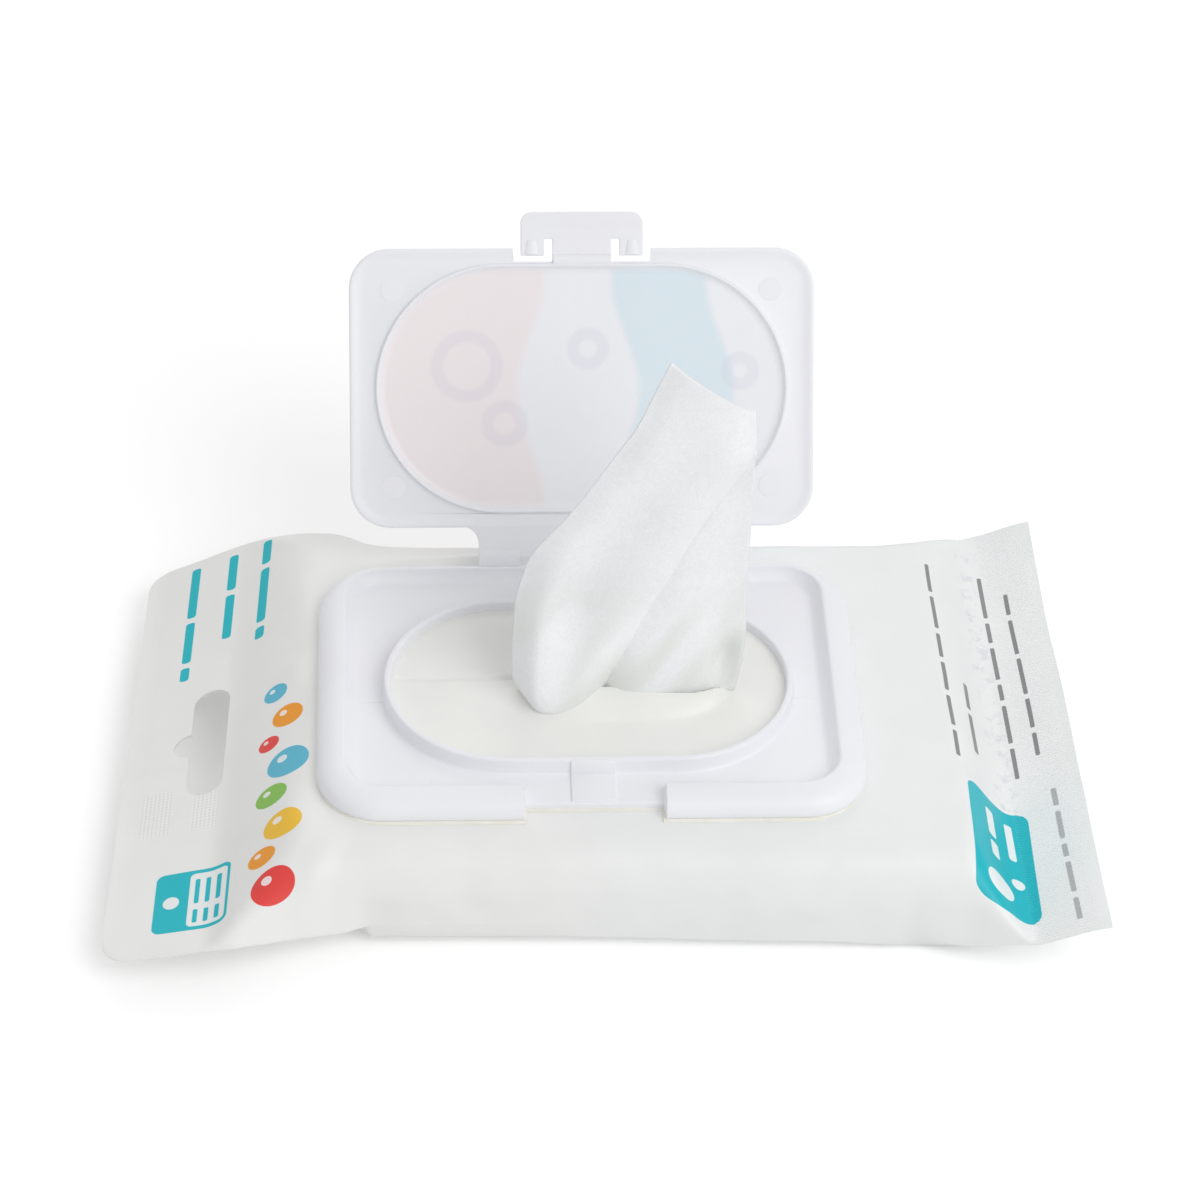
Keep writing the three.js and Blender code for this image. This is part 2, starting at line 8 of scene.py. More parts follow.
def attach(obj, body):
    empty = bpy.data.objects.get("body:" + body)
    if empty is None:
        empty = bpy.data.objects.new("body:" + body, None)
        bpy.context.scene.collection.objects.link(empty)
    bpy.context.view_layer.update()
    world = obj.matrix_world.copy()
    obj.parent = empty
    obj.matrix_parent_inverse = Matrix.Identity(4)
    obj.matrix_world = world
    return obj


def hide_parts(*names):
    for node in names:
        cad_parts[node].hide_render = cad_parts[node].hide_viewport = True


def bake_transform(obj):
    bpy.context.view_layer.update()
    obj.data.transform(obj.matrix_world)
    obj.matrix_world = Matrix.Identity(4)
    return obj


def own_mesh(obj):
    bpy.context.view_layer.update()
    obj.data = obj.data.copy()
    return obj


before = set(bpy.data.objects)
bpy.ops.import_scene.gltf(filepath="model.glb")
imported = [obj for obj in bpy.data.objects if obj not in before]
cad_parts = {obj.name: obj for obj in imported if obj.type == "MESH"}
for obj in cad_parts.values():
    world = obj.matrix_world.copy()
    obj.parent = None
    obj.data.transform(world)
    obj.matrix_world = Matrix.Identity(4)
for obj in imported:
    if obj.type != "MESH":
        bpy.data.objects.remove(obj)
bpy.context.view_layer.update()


# Stack of wipes: thirty-odd sheets of damp spun-laced cloth, each folded once and laid on the last.
# They fill the pouch and are pressed together by it, so only their stacked edges would ever be seen.
MM = 0.001
STACK_SIZE = (100, 75, 18.2)
STACK_MIDDLE = (7, 0, 9.8)
STACK_EDGE = 5


class Shade:
    """A shader socket that can be reckoned with, in the tree that it belongs to."""

    def __init__(self, tree, socket=None):
        self.tree = tree
        self.socket = socket

    def node(self, kind, inputs=None, settings=None, output=0):
        made = self.tree.nodes.new(kind)
        for name, value in (settings or {}).items():
            setattr(made, name, value)
        for name, value in (inputs or {}).items():
            self.feed(made.inputs[name], value)
        return Shade(self.tree, made.outputs[output])

    def feed(self, target, value):
        if isinstance(value, Shade):
            self.tree.links.new(value.socket, target)
        else:
            target.default_value = value

    def other(self, output):
        return Shade(self.tree, self.socket.node.outputs[output])

    def reckon(self, operation, *terms):
        return self.node("ShaderNodeMath", dict(enumerate(terms)), {"operation": operation})

    def __add__(self, term):
        return self.reckon("ADD", self, term)

    __radd__ = __add__

    def __sub__(self, term):
        return self.reckon("SUBTRACT", self, term)

    def __rsub__(self, term):
        return self.reckon("SUBTRACT", term, self)

    def __mul__(self, term):
        return self.reckon("MULTIPLY", self, term)

    __rmul__ = __mul__

    def __truediv__(self, term):
        return self.reckon("DIVIDE", self, term)

    def __pow__(self, term):
        return self.reckon("POWER", self, term)

    def __abs__(self):
        return self.reckon("ABSOLUTE", self)


def paint(red, green, blue):
    """A colour as it looks on screen, 0 to 255, as light for the shader."""
    return tuple((tone / 255) ** 2.2 for tone in (red, green, blue)) + (1,)


def rise(signal, low, high):
    """A soft step from 0 below low to 1 above high."""
    sockets = {"Value": signal, "From Min": low, "From Max": high}
    return signal.node("ShaderNodeMapRange", sockets, {"interpolation_type": "SMOOTHSTEP"})


def tint(mask, below, above):
    """One colour where the mask is 0, the other where it is 1."""
    return mask.node("ShaderNodeMix", {0: mask, 6: below, 7: above}, {"data_type": "RGBA"}, 2)


def cloudy(place, scale, detail=2.0, roughness=0.5):
    """Noise about 0.5 on a place in metres; scale is in marks per metre."""
    sockets = {"Vector": place, "Scale": scale, "Detail": detail, "Roughness": roughness}
    return place.node("ShaderNodeTexNoise", sockets)


def start_material(name):
    """A new material, a Shade to build its nodes with, and the place in metres."""
    material = bpy.data.materials.new(name)
    material.use_nodes = True
    make = Shade(material.node_tree)
    place = make.node("ShaderNodeTexCoord", output="Object")
    return material, make, place


def dress(make, sockets):
    """Sets or joins sockets of the material's main shader."""
    for name, value in sockets.items():
        make.feed(make.tree.nodes["Principled BSDF"].inputs[name], value)


def relief(height, distance, strength=1.0):
    """A bump from a height signal; distance is its full height in metres."""
    sockets = {"Height": height, "Distance": distance, "Strength": strength}
    return height.node("ShaderNodeBump", sockets)


def wipe_cloth(name, cloth_colour):
    """Spun-laced cloth, damp: matted fibres in loose drifts with a dull finish, and grey-green patches over
    its lower part.
    """
    material, make, place = start_material(name)
    fibres = cloudy(place, 2400, 3.0, 0.7)
    matting = cloudy(place, 700, 4.0, 0.65)
    drifts = cloudy(place, 70)
    mixture = fibres * 0.5 + matting * 0.26 + drifts * 0.24
    grey = tuple(tone * 0.93 for tone in cloth_colour[:3]) + (1,)
    parts = make.node("ShaderNodeSeparateXYZ", {0: place})
    height = parts.other(2)
    along_folds = make.node("ShaderNodeCombineXYZ", {0: parts * 0.86 - height * 0.5, 1: height * 0.3})
    # Grey-green patches in drifts, darker on the cloth's lower part and fading out higher up.
    low_patches = rise(cloudy(along_folds, 110, 1.0), 0.42, 0.6) * (1 - rise(height, 0.028, 0.055))
    patch_tone = tuple(tone * share for tone, share in zip(cloth_colour, (0.88, 0.89, 0.85, 1)))
    cloth_tone = tint(rise(mixture, 0.34, 0.64), grey, cloth_colour)
    dress(make, {"Base Color": tint(low_patches, cloth_tone, patch_tone), "Roughness": 0.72 + fibres * 0.2,
                 "Normal": relief(mixture, 0.0003, 0.5), "Sheen Weight": 0.12,
                 "Subsurface Weight": 0.15, "Subsurface Radius": (0.002, 0.002, 0.002)})
    return material


def add_object(name, bm):
    """A new object in the scene, from a finished shape."""
    mesh = bpy.data.meshes.new(name)
    bm.to_mesh(mesh)
    bm.free()
    made = bpy.data.objects.new(name, mesh)
    bpy.context.collection.objects.link(made)
    return made


def make_piece(name, bm, material, body, sharp_angle=38):
    """Turns a shape in millimetres into a smooth-shaded piece that rides on a body."""
    bmesh.ops.scale(bm, vec=(MM, MM, MM), verts=bm.verts)
    bmesh.ops.recalc_face_normals(bm, faces=bm.faces)
    for edge in bm.edges:
        edge.smooth = edge.calc_face_angle(0) < math.radians(sharp_angle)
    for face in bm.faces:
        face.smooth = True
    piece = add_object(name, bm)
    piece.data.materials.append(material)
    if body:
        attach(piece, body)
    return piece


def soften(bm, edges, offset, segments=3):
    """Rounds off edges of a shape."""
    bmesh.ops.bevel(bm, geom=edges, offset=offset, affect="EDGES", segments=segments, profile=0.5,
                    material=-1)


def folded_stack():
    """The pressed block of folded sheets, its edges rounded by the film."""
    bm = bmesh.new()
    block = Matrix.Translation(STACK_MIDDLE) @ Matrix.Diagonal((*STACK_SIZE, 1))
    bmesh.ops.create_cube(bm, size=1, matrix=block)
    soften(bm, bm.edges[:], STACK_EDGE, 6)
    return bm


stacked_cloth = wipe_cloth("stacked_cloth", paint(240, 241, 243))
stack = make_piece("folded_wipes", folded_stack(), stacked_cloth, "pack")
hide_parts("wipe_stack")


# Film pouch: a tube of printed white laminate, wrapped round the stack and welded flat at both ends.
# One end runs on into a hang header with a punched hole, the other is a serrated seal; the pressed
# edges stand off as thin fins at the corners, and the top has a die-cut slit inside the lid.
PACK_HEIGHT = 19.6
PLY = 0.2
FLAT_HALF = 48.6
BODY_HALF = 40.5
BODY_LEFT = -46.8
BODY_RIGHT = 60.8
HEADER_INNER = -57.2
HEADER_END = -78.9
CRIMP_INNER = 71.3
CRIMP_END = 82.7
FIN_RUN = 19
HEADER_CORNER = 4.5
HEADER_TUCK = 6.5
SEAL_TUCK = 3.5
HEADER_SLANT = 0.049
SEAL_SLANT = -0.036
FRONT_ROLL = (8.5, 10.5)
BACK_ROLL = (2.2, 2.8)
FRONT_SWELL = 1.1
OVAL_SWELL = 2.65
LIP_HEIGHT = 1.85
MOUTH = (-0.5, 3.5)
MOUTH_DEPTH = 1.6
FRONT_TIPS = [(-78.9, 5.6), (-69, 7.1), (-57, 9.1), (-45, 6.7), (-39.5, 5.3), (-37, 6.0), (40, 6.0),
              (50, 4.6), (58, 3.6), (62, 4.2), (66, 5.9), (72.2, 7.9), (82.9, 11.5)]
BACK_TIPS = [(-78.9, 5.2), (-70, 8.8), (-64.6, 11.6), (-58, 14.3), (-51, 15.9), (-42, 17.4), (-35, 16.5),
             (-29, 11), (45, 11), (54, 15.0), (60, 14.8), (72, 12.5), (82.7, 16.2)]
FRONT_FIN = [(-57.2, 48.6), (-41, 42), (-38.2, 40.5), (0, 40.5), (42, 41.7), (52.3, 41.9), (71.3, 48.6)]
BACK_FIN = [(-57.2, 48.6), (-50, 47.6), (-42, 45.4), (-36, 42.6), (-31, 40.5), (52.3, 40.5), (71.3, 48.6)]
FRAME = (46, -30.7, 30.7, 11)
OVAL_HALF = (33.6, 19.4)


def mix(a, b, share):
    return a + (b - a) * share


def within(value, low=0.0, high=1.0):
    return max(low, min(high, value))


def soft_step(value, low, high):
    share = within((value - low) / (high - low))
    return share * share * (3 - 2 * share)


def fade(value, low, high):
    return 1 - soft_step(value, low, high)


def along_table(table, place, reach):
    """The values that a table of (place, values) has at a place, its corners softened over that reach."""
    total = [0] * (len(table[0]) - 1)
    for off in (-1, -0.5, 0, 0.5, 1):
        spot = within(place + off * reach, table[0][0], table[-1][0])
        low, high = next(pair for pair in zip(table, table[1:]) if spot <= pair[1][0])
        part = (spot - low[0]) / (high[0] - low[0])
        total = [so_far + mix(a, b, part) for so_far, a, b in zip(total, low[1:], high[1:])]
    return [value / 5 for value in total]


def hump(value, centre, reach):
    """1 at the centre, falling smoothly to 0 at the reach on either side."""
    return fade(abs(value - centre), 0, reach)


def ripple(x, y, size, seed):
    """Smooth noise about zero, with waves of about that size."""
    return noise.noise(Vector((x / size, y / size, seed)))


def soft_corner(start, corner, end, reaches, steps):
    """A rounded corner as a curve that leaves the edges to start and end at these reaches."""
    corner = Vector(corner)
    towards = []
    for other, reach in zip((Vector(start), Vector(end)), reaches):
        towards.append(corner.lerp(other, min(0.95, reach / (other - corner).length)))
    points = []
    for step in range(steps + 1):
        share = step / steps
        first = towards[0].lerp(corner, share)
        points.append(first.lerp(corner.lerp(towards[1], share), share))
    return points


def spaced_points(path, far_rows, near_rows=0, near=0.0):
    """Points along a path with their way along it, closer together over its last, near stretch."""
    ways = [0.0]
    for a, b in zip(path, path[1:]):
        ways.append(ways[-1] + (b - a).length)
    far = ways[-1] - near
    stops = [far * step / far_rows for step in range(far_rows + 1)]
    stops += [far + near * (step + 1) / near_rows for step in range(near_rows)]
    points = []
    leg = 0
    for way in stops:
        while leg < len(path) - 2 and ways[leg + 1] < way:
            leg += 1
        length = max(ways[leg + 1] - ways[leg], 1e-9)
        points.append((path[leg].lerp(path[leg + 1], within((way - ways[leg]) / length)), way))
    return points


def film_columns():
    """Places along the pouch: closer together over the slopes and seals."""
    runs = [(HEADER_END, -75, 12), (-75, HEADER_INNER, 28), (HEADER_INNER, BODY_LEFT, 24),
            (BODY_LEFT, -41.5, 10), (-41.5, -36, 16), (-36, 34, 160), (34, 52, 24),
            (52, CRIMP_INNER, 34), (CRIMP_INNER, CRIMP_END, 7)]
    places = [HEADER_END]
    for low, high, count in runs:
        places += [mix(low, high, (step + 1) / count) for step in range(count)]
    return places


def oval_way(x, y):
    """How far inside the collar's oval a point lies, below 0 outside it."""
    straight = OVAL_HALF[0] - OVAL_HALF[1]
    return OVAL_HALF[1] - math.hypot(max(0, abs(x) - straight), y)


def oval_end(x, start, reach):
    """1 up to the start of a rounded end, falling to 0 over its reach as an ellipse does."""
    return math.sqrt(1 - within((x - start) / reach) ** 2)


def slot_relief(x, y):
    """The film inside the collar, pushed up by the stack: a slit on the left, a mouth with a rolled lip."""
    swell = OVAL_SWELL + 0.15 * ripple(x, y, 9, 4.2)
    mouth_half = MOUTH[1] * oval_end(x, 15.5, 7.1) * mix(0.5, 1, soft_step(x, 3, 13))
    lip_width = MOUTH[1] + 5.2 * soft_step(x, -16, -3)
    foot_half = max(lip_width * oval_end(x, 11.5, 12.4), mouth_half + 0.4)
    roll = 1 - within((MOUTH[0] - y - mouth_half) / (foot_half - mouth_half)) ** 2.2
    roll *= fade(y, -2.2, 2.6) * soft_step(x, -11, 0) * fade(x, 20.8, 24.2)
    mouth = MOUTH_DEPTH * soft_step(mouth_half - abs(y - MOUTH[0]), -0.3, 0.7)
    mouth *= soft_step(x, -12, -7) * soft_step(mouth_half, 0, 1.5)
    cut_along = soft_step(x, -34, -31) * fade(x, -9, -6)
    groove = mix(0.25, 1.1, soft_step(x, -20, -9)) * cut_along * hump(y, 2.1, 1.0)
    flap = 0.45 * cut_along * soft_step(x, -26, -12) * hump(y, -1.5, 4.5)
    hollow = 1.3 * hump(x, -11, 13) * soft_step(y, 2.2, 6) * fade(y, 10, 18)
    return swell + LIP_HEIGHT * roll + flap - groove - mouth - hollow


def body_relief(x, y):
    """Soft swells and creases of the top film, none where the lid frame is glued down."""
    away = max(abs(x) - FRAME[0], abs(y) - FRAME[2])
    inside = oval_way(x, y)
    if inside > -1:
        return slot_relief(x, y) * soft_step(inside, -1, -0.3)
    free = soft_step(away, 0.4, 4.5)
    swell = 0.42 * ripple(x, y, 21, 1.3) + 0.2 * ripple(x, y, 8, 2.1)
    gathers = 0.5 * ripple(x * 0.18, y, 5.2, 7.7)
    ends = hump(x, -50, 9) + hump(x, 64, 12)
    back_crease = 1.1 * hump(y - 36.3 - 0.04 * x, 0, 2.2)
    back_crease *= soft_step(x, -40, -26) * fade(x, 20, 44)
    corner_pull = 0.45 * hump((x + 43) - 0.35 * (y + 33), 0, 3.4) * fade(y, -36, -29)
    return free * (swell + gathers * ends + back_crease + corner_pull)


def flat_wave(x, y):
    """How the welded flat ends wave: both plies move as one."""
    if x < 0:
        out = soft_step(-x, -HEADER_INNER - 2, -HEADER_END)
        fold = -0.55 * hump(y + 5.5 + 0.12 * (x + 70), 0, 3.0)
        return out * (0.45 * ripple(x, y, 26, 5.5) + fold) + 0.15 * ripple(x, y, 9, 6.6)
    out = soft_step(x, CRIMP_INNER - 4, CRIMP_END)
    curl = 1.2 * soft_step(y, 30, 50) - 0.6 * hump(y, 22, 18)
    return out * (curl + 0.9 * ripple(x * 0.3, y, 15, 8.8)) + 0.25 * ripple(x, y, 10, 9.1)


def film_section(x, bottom_rows, top_rows):
    """The film round the pouch at x: points from below the middle, round and back, with their way."""
    if x < 0:
        fill = soft_step(x, HEADER_INNER - 5.5, BODY_LEFT + 0.6)
        tuck = fill * HEADER_TUCK * fade(x, -40.2, -37.0)
        slant = HEADER_SLANT * (1 - within((x - HEADER_INNER) / FIN_RUN))
    else:
        fill = soft_step(-x, -CRIMP_INNER, 0.6 - BODY_RIGHT)
        tuck = fill * SEAL_TUCK * soft_step(x, 56, 68)
        slant = SEAL_SLANT * (1 - within((CRIMP_INNER - x) / FIN_RUN))
    from_end = within(x - HEADER_END, 0, HEADER_CORNER)
    narrow = HEADER_CORNER - math.sqrt(HEADER_CORNER ** 2 - (HEADER_CORNER - from_end) ** 2)
    face_half = mix(FLAT_HALF, BODY_HALF, fill) - narrow
    tips = along_table(BACK_TIPS, x, 3) + along_table(FRONT_TIPS, x, 2.4)
    fins = [edge - narrow for edge in along_table(BACK_FIN, x, 2) + along_table(FRONT_FIN, x, 1)]
    middle = (tips[0] + tips[1]) / 2
    rounding = max(fill, 0.08)
    front_roll = mix(6.5, 2.0, soft_step(x, -35, 32))
    section = []
    for side, tip, fin_half in zip((1, -1), tips, fins):
        swell = FRONT_SWELL * fill * soft_step(x, 0, 42) if side < 0 else 0
        corner_half = min(face_half + swell, fin_half)
        corner_z = mix(middle, tip, corner_half / fin_half)
        faces = (-PLY, 0), (PLY, PACK_HEIGHT)
        centre = [Vector((0, mix(middle + ply, face, fill))) for ply, face in faces]
        corners = [(corner_half - tuck, mix(corner_z - PLY, 0, fill)),
                   (corner_half, mix(corner_z + PLY, PACK_HEIGHT, fill))]
        under_tip = Vector((fin_half + 0.02, tip - PLY * 0.6))
        over_tip = Vector((fin_half + 0.02, tip + PLY * 0.6))
        bottom_roll = (front_roll, front_roll) if side < 0 else (4.5, 4.5)
        top_roll = FRONT_ROLL if side < 0 else BACK_ROLL
        rolls = [[reach * rounding for reach in roll] for roll in (bottom_roll, top_roll)]
        under = soft_corner(centre[0], corners[0], under_tip, rolls[0], 8)
        over = soft_corner(over_tip, corners[1], centre[1], rolls[1], 12)
        bottom = spaced_points([centre[0], *under, under_tip], bottom_rows)
        top = spaced_points([over_tip, *over, centre[1]], *top_rows)
        girth = top[-1][1]
        below = [(point, girth + bottom[-1][1] - way, False) for point, way in bottom]
        above = [(point, girth - way, True) for point, way in top]
        half = []
        for point, way, is_top in below + above:
            y = side * point.x
            lift = (1 - fill) * flat_wave(x, y)
            if is_top:
                lift += fill * body_relief(x, y)
            wall = fill * (1 - abs(2 * point.y / PACK_HEIGHT - 1)) * soft_step(abs(y), 34, 40)
            puff = 0.6 * ripple(x, point.y, 17, 3.3 + side) + 0.3 * ripple(x, point.y, 6, 5.3 + side)
            half.append((Vector((x + slant * y, y + side * wall * puff, point.y + lift)), side * way))
        section.append(half)
    return section[0] + section[1][::-1]


def skin_over(columns, map_name=None, spots=None):
    """A skin over columns of points; a map, where there is one, has a spot for each point."""
    bm = bmesh.new()
    across, up = len(columns) - 1, len(columns[0]) - 1
    bmesh.ops.create_grid(bm, x_segments=across, y_segments=up, size=0.5)
    layer = bm.loops.layers.uv.new(map_name) if map_name else None
    for vert in bm.verts:
        column, row = round((vert.co.x + 0.5) * across), round((vert.co.y + 0.5) * up)
        vert.co = columns[column][row]
        for loop in vert.link_loops if layer else ():
            loop[layer].uv = spots[column][row]
    return bm


def film_skin():
    """The whole film as one grid, wrapped round and welded along its underside."""
    bottom_rows, top_rows = 12, (54, 60, 21)
    columns, spots = [], []
    for x in film_columns():
        section = film_section(x, bottom_rows, top_rows)
        columns.append([point for point, way in section])
        spots.append([(x * 0.01, way * 0.01) for point, way in section])
    bm = skin_over(columns, "film", spots)
    bmesh.ops.remove_doubles(bm, verts=bm.verts, dist=1e-4)
    return bm


def cut_serrations(bm):
    """The welded end is pressed between fine jaws: ridges run along the pouch, side by side."""
    pitch = 0.58
    across = [edge for edge in bm.edges
              if min(vert.co.x for vert in edge.verts) > CRIMP_INNER - 0.5
              and abs(edge.verts[0].co.x - edge.verts[1].co.x) < 0.2]
    bmesh.ops.subdivide_edges(bm, edges=across, cuts=7)
    for vert in bm.verts:
        pressed = soft_step(vert.co.x, CRIMP_INNER + 0.2, CRIMP_INNER + 1.2)
        pressed *= fade(vert.co.x, CRIMP_END - 1.1, CRIMP_END - 0.3)
        vert.co.z += 0.075 * pressed * math.sin(2 * math.pi * vert.co.y / pitch)


def close_ends(bm):
    """Fills the open ends of a skin."""
    bmesh.ops.holes_fill(bm, edges=[edge for edge in bm.edges if edge.is_boundary], sides=0)


def arc_points(centre, radius, start, end, steps=10):
    """Points along an arc, its ends given in degrees."""
    angles = [math.radians(mix(start, end, step / steps)) for step in range(steps + 1)]
    return [(centre[0] + radius * math.cos(angle), centre[1] + radius * math.sin(angle)) for angle in angles]


def extruded(outline, along):
    """A closed prism: a flat outline carried along a vector."""
    bm = bmesh.new()
    start = bm.faces.new([bm.verts.new(point) for point in outline])
    grown = bmesh.ops.extrude_face_region(bm, geom=[start])["geom"]
    moved = [part for part in grown if isinstance(part, bmesh.types.BMVert)]
    bmesh.ops.translate(bm, vec=along, verts=moved)
    bmesh.ops.recalc_face_normals(bm, faces=bm.faces)
    return bm


def punch_hang_hole(piece):
    """A long slot with a round bump on its outer side, punched through both plies."""
    middle, length, width = -64.8, 25, 6.2
    slant, tall = 0.045, 18
    bump_radius, bump_reach = 2.7, 2.8
    end, reach = width / 2, (length - width) / 2
    bump_x = middle - end - bump_reach + bump_radius
    bump_start = math.degrees(math.acos((middle - end - bump_x) / bump_radius))
    outline = arc_points((middle, reach), end, 0, 180, 20)
    outline += arc_points((bump_x, 0), bump_radius, bump_start, 360 - bump_start, 20)
    outline += arc_points((middle, -reach), end, 180, 360, 20)
    bm = extruded([(x + slant * y, y, 0) for x, y in outline], (0, 0, tall))
    bmesh.ops.scale(bm, vec=(MM, MM, MM), verts=bm.verts)
    punch = add_object("punch", bm)
    cut = piece.modifiers.new("hang hole", "BOOLEAN")
    cut.object = punch
    cut.solver = "EXACT"
    evaluated = piece.evaluated_get(bpy.context.evaluated_depsgraph_get())
    piece.data = bpy.data.meshes.new_from_object(evaluated)
    piece.modifiers.clear()
    bpy.data.objects.remove(punch)


def larger(one, other):
    return one.reckon("MAXIMUM", one, other)


def sine(angle):
    return angle.reckon("SINE", angle)


def far(along, across):
    return (along * along + across * across) ** 0.5


def map_place(make, map_name):
    """A point's place on a map, in millimetres along and across."""
    at = make.node("ShaderNodeUVMap", settings={"uv_map": map_name})
    split = at.node("ShaderNodeSeparateXYZ", {0: at})
    return split * 100, split.other(1) * 100


def rounded_field(x, y, centre, half, radius, turn=0.0):
    """1 inside a rounded rectangle of the print, in millimetres along and across the film."""
    c, s = math.cos(math.radians(turn)), math.sin(math.radians(turn))
    along = (x - centre[0]) * c + (y - centre[1]) * s
    across = (y - centre[1]) * c - (x - centre[0]) * s
    over_x = larger(abs(along) - (half[0] - radius), 0)
    over_y = larger(abs(across) - (half[1] - radius), 0)
    return 1 - rise(far(over_x, over_y), radius - 0.06, radius + 0.06)


def dash_line(x, y, place, start, dashes, thickness):
    """A line of short bars along the pack's width, in place of words."""
    gap = 1.3
    line = None
    for length in dashes:
        centre = (place, start - length / 2)
        bar = rounded_field(x, y, centre, (thickness / 2, length / 2), thickness * 0.35)
        line = bar if line is None else larger(line, bar)
        start -= length + gap
    return line


def film_print():
    """White laminate with a plain generic print: bars for words, bubbles, and two colour fields."""
    material, make, place = start_material("printed_film")
    x, y = map_place(make, "film")
    teal, grey = paint(0, 186, 199), paint(112, 114, 116)
    pale, light = paint(238, 242, 241), paint(240, 246, 246)
    broad = cloudy(place, 22)
    mottle = cloudy(place, 120, 3.0)
    white = tint(rise(x + broad * 40, -10, 50), paint(241, 241, 239), paint(240, 242, 242))
    at = place.node("ShaderNodeSeparateXYZ", {0: place})
    along = larger(abs(at) - (OVAL_HALF[0] - OVAL_HALF[1]) * MM, 0)
    white = tint(1 - rise(far(along, at.other(1)), 0.0190, 0.0198), white, paint(242, 242, 238))
    colour = tint(rise(mottle, 0.35, 0.75) * 0.3, white, paint(234, 236, 233))
    ghost = rise(cloudy(place, 420, 4.0, 0.7), 0.5, 0.62) * (1 - rise(abs(x - 70.2), 0.8, 2.6))
    colour = tint(ghost * 0.22 * rise(46 - abs(y), 0, 4), colour, paint(150, 165, 190))
    red, orange, blue = paint(233, 71, 66), paint(245, 158, 40), paint(94, 187, 214)
    yellow, green = paint(246, 196, 58), paint(137, 195, 84)
    bubbles = [(-51.6, -41, 3.3, red), (-53.6, -34.2, 2.1, orange), (-50.6, -28.6, 3.0, yellow),
               (-52.8, -20.6, 2.5, green), (-50.4, -13.8, 3.4, blue), (-53.9, -7.4, 1.7, red),
               (-51.0, -2.0, 2.6, orange), (-53.4, 4.6, 2.0, blue)]
    for along, across, radius, tone in bubbles:
        colour = tint(rounded_field(x, y, (along, across), (radius, radius), radius), colour, tone)
        spot = 0.24 * radius
        glint = rounded_field(x, y, (along - 0.3 * radius, across + 0.35 * radius), (spot, spot), spot)
        colour = tint(glint * 0.8, colour, paint(250, 250, 250))
    fields = [((-64.8, -37), (6.2, 6.7), 1.4, 0, teal), ((-62.2, -37), (3.1, 5.9), 0.9, 0, pale),
              ((-68.2, -37), (1.35, 1.35), 1.35, 0, pale), ((67.3, -31.9), (5.3, 12.4), 2.2, -2, teal),
              ((66, -39.4), (2.2, 2.2), 2.2, 0, light), ((69.4, -35.8), (1.1, 1.1), 1.1, 0, light)]
    for centre, half, radius, turn, tone in fields:
        colour = tint(rounded_field(x, y, centre, half, radius, turn), colour, tone)
    header_lines = [(-70.4, 46.5, [13, 10.5, 3.4]), (-63.6, 46.5, [9, 11]), (-57.5, 46.5, [6, 13.5, 3])]
    patch_lines = [(along, -32.4, [5.4, 3]) for along in (-64, -62.2, -60.4)]
    thin_lines = [(61.6, 34, [7, 8.5, 6, 7, 8, 6]), (65.6, 7, [6, 9.5]), (72.6, 38, [10, 5, 8, 4, 9, 7]),
                  (76.6, 33, [5, 9, 9, 7, 5])]
    field_lines = [(66, -22.5, [6, 3.4]), (69.3, -22.5, [8])]
    seal_line = [(77.9, -15.5, [4, 6, 3, 7, 5])]
    groups = [(header_lines, 1.6, 1, teal), (patch_lines, 0.8, 1, teal), (thin_lines, 0.75, 0.85, grey),
              (field_lines, 1.3, 1, light), (seal_line, 0.9, 0.55, grey)]
    for lines, thickness, strength, tone in groups:
        for along, start, dashes in lines:
            colour = tint(dash_line(x, y, along, start, dashes, thickness) * strength, colour, tone)
    outer_knurl = 1 - rise(abs(x + 72.6), 2.2, 2.9)
    inner_knurl = 1 - rise(abs(x + 64.2), 1.8, 2.5)
    knurl_at = larger(outer_knurl, inner_knurl) * (1 - rise(abs(y + 15.5), 4.6, 5.6))
    weave = sine((x + y) * 4.6) * sine((x - y) * 4.6)
    height = mottle * 0.5 + cloudy(place, 700) * 0.12 + weave * knurl_at * 0.3
    dress(make, {"Base Color": colour, "Roughness": 0.36 + mottle * 0.12,
                 "Normal": relief(height, 0.0004, 0.35),
                 "Subsurface Weight": 0.05, "Subsurface Radius": (0.001, 0.001, 0.001)})
    return material


film_shape = film_skin()
cut_serrations(film_shape)
close_ends(film_shape)
pouch = make_piece("film_pouch", film_shape, film_print(), "pack")
punch_hang_hole(pouch)
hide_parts("pouch_film")


# Adhesive: a hot-melt ring that holds the lid frame on the film. It is pressed out a little past the
# frame's foot, so it shows as a narrow cream line round the frame.
FRAME_BASE = 19.9
NOTCH_HALF = 11.6
BEAD_FOOT = 19.5
BEAD_TOP = 19.93
BEAD_BACK = 28.2
ARC_STEPS = 18


def outline_stations(straight_steps, notch_share=0, reach=0.012):
    """Stations round a rounded rectangle: (stretch, share along it), closer by the sides of a notch."""
    front = {step / straight_steps for step in range(straight_steps)}
    for place in (0.5 - notch_share, 0.5 + notch_share) if notch_share else ():
        front |= {within(place + reach * step / 12, 0, 0.9999) for step in range(-12, 13)}
    stations = [(0, share) for share in sorted(front)]
    for stretch in range(1, 8):
        steps = ARC_STEPS if stretch % 2 else max(10, straight_steps // 2)
        stations += [(stretch, step / steps) for step in range(steps)]
    return stations


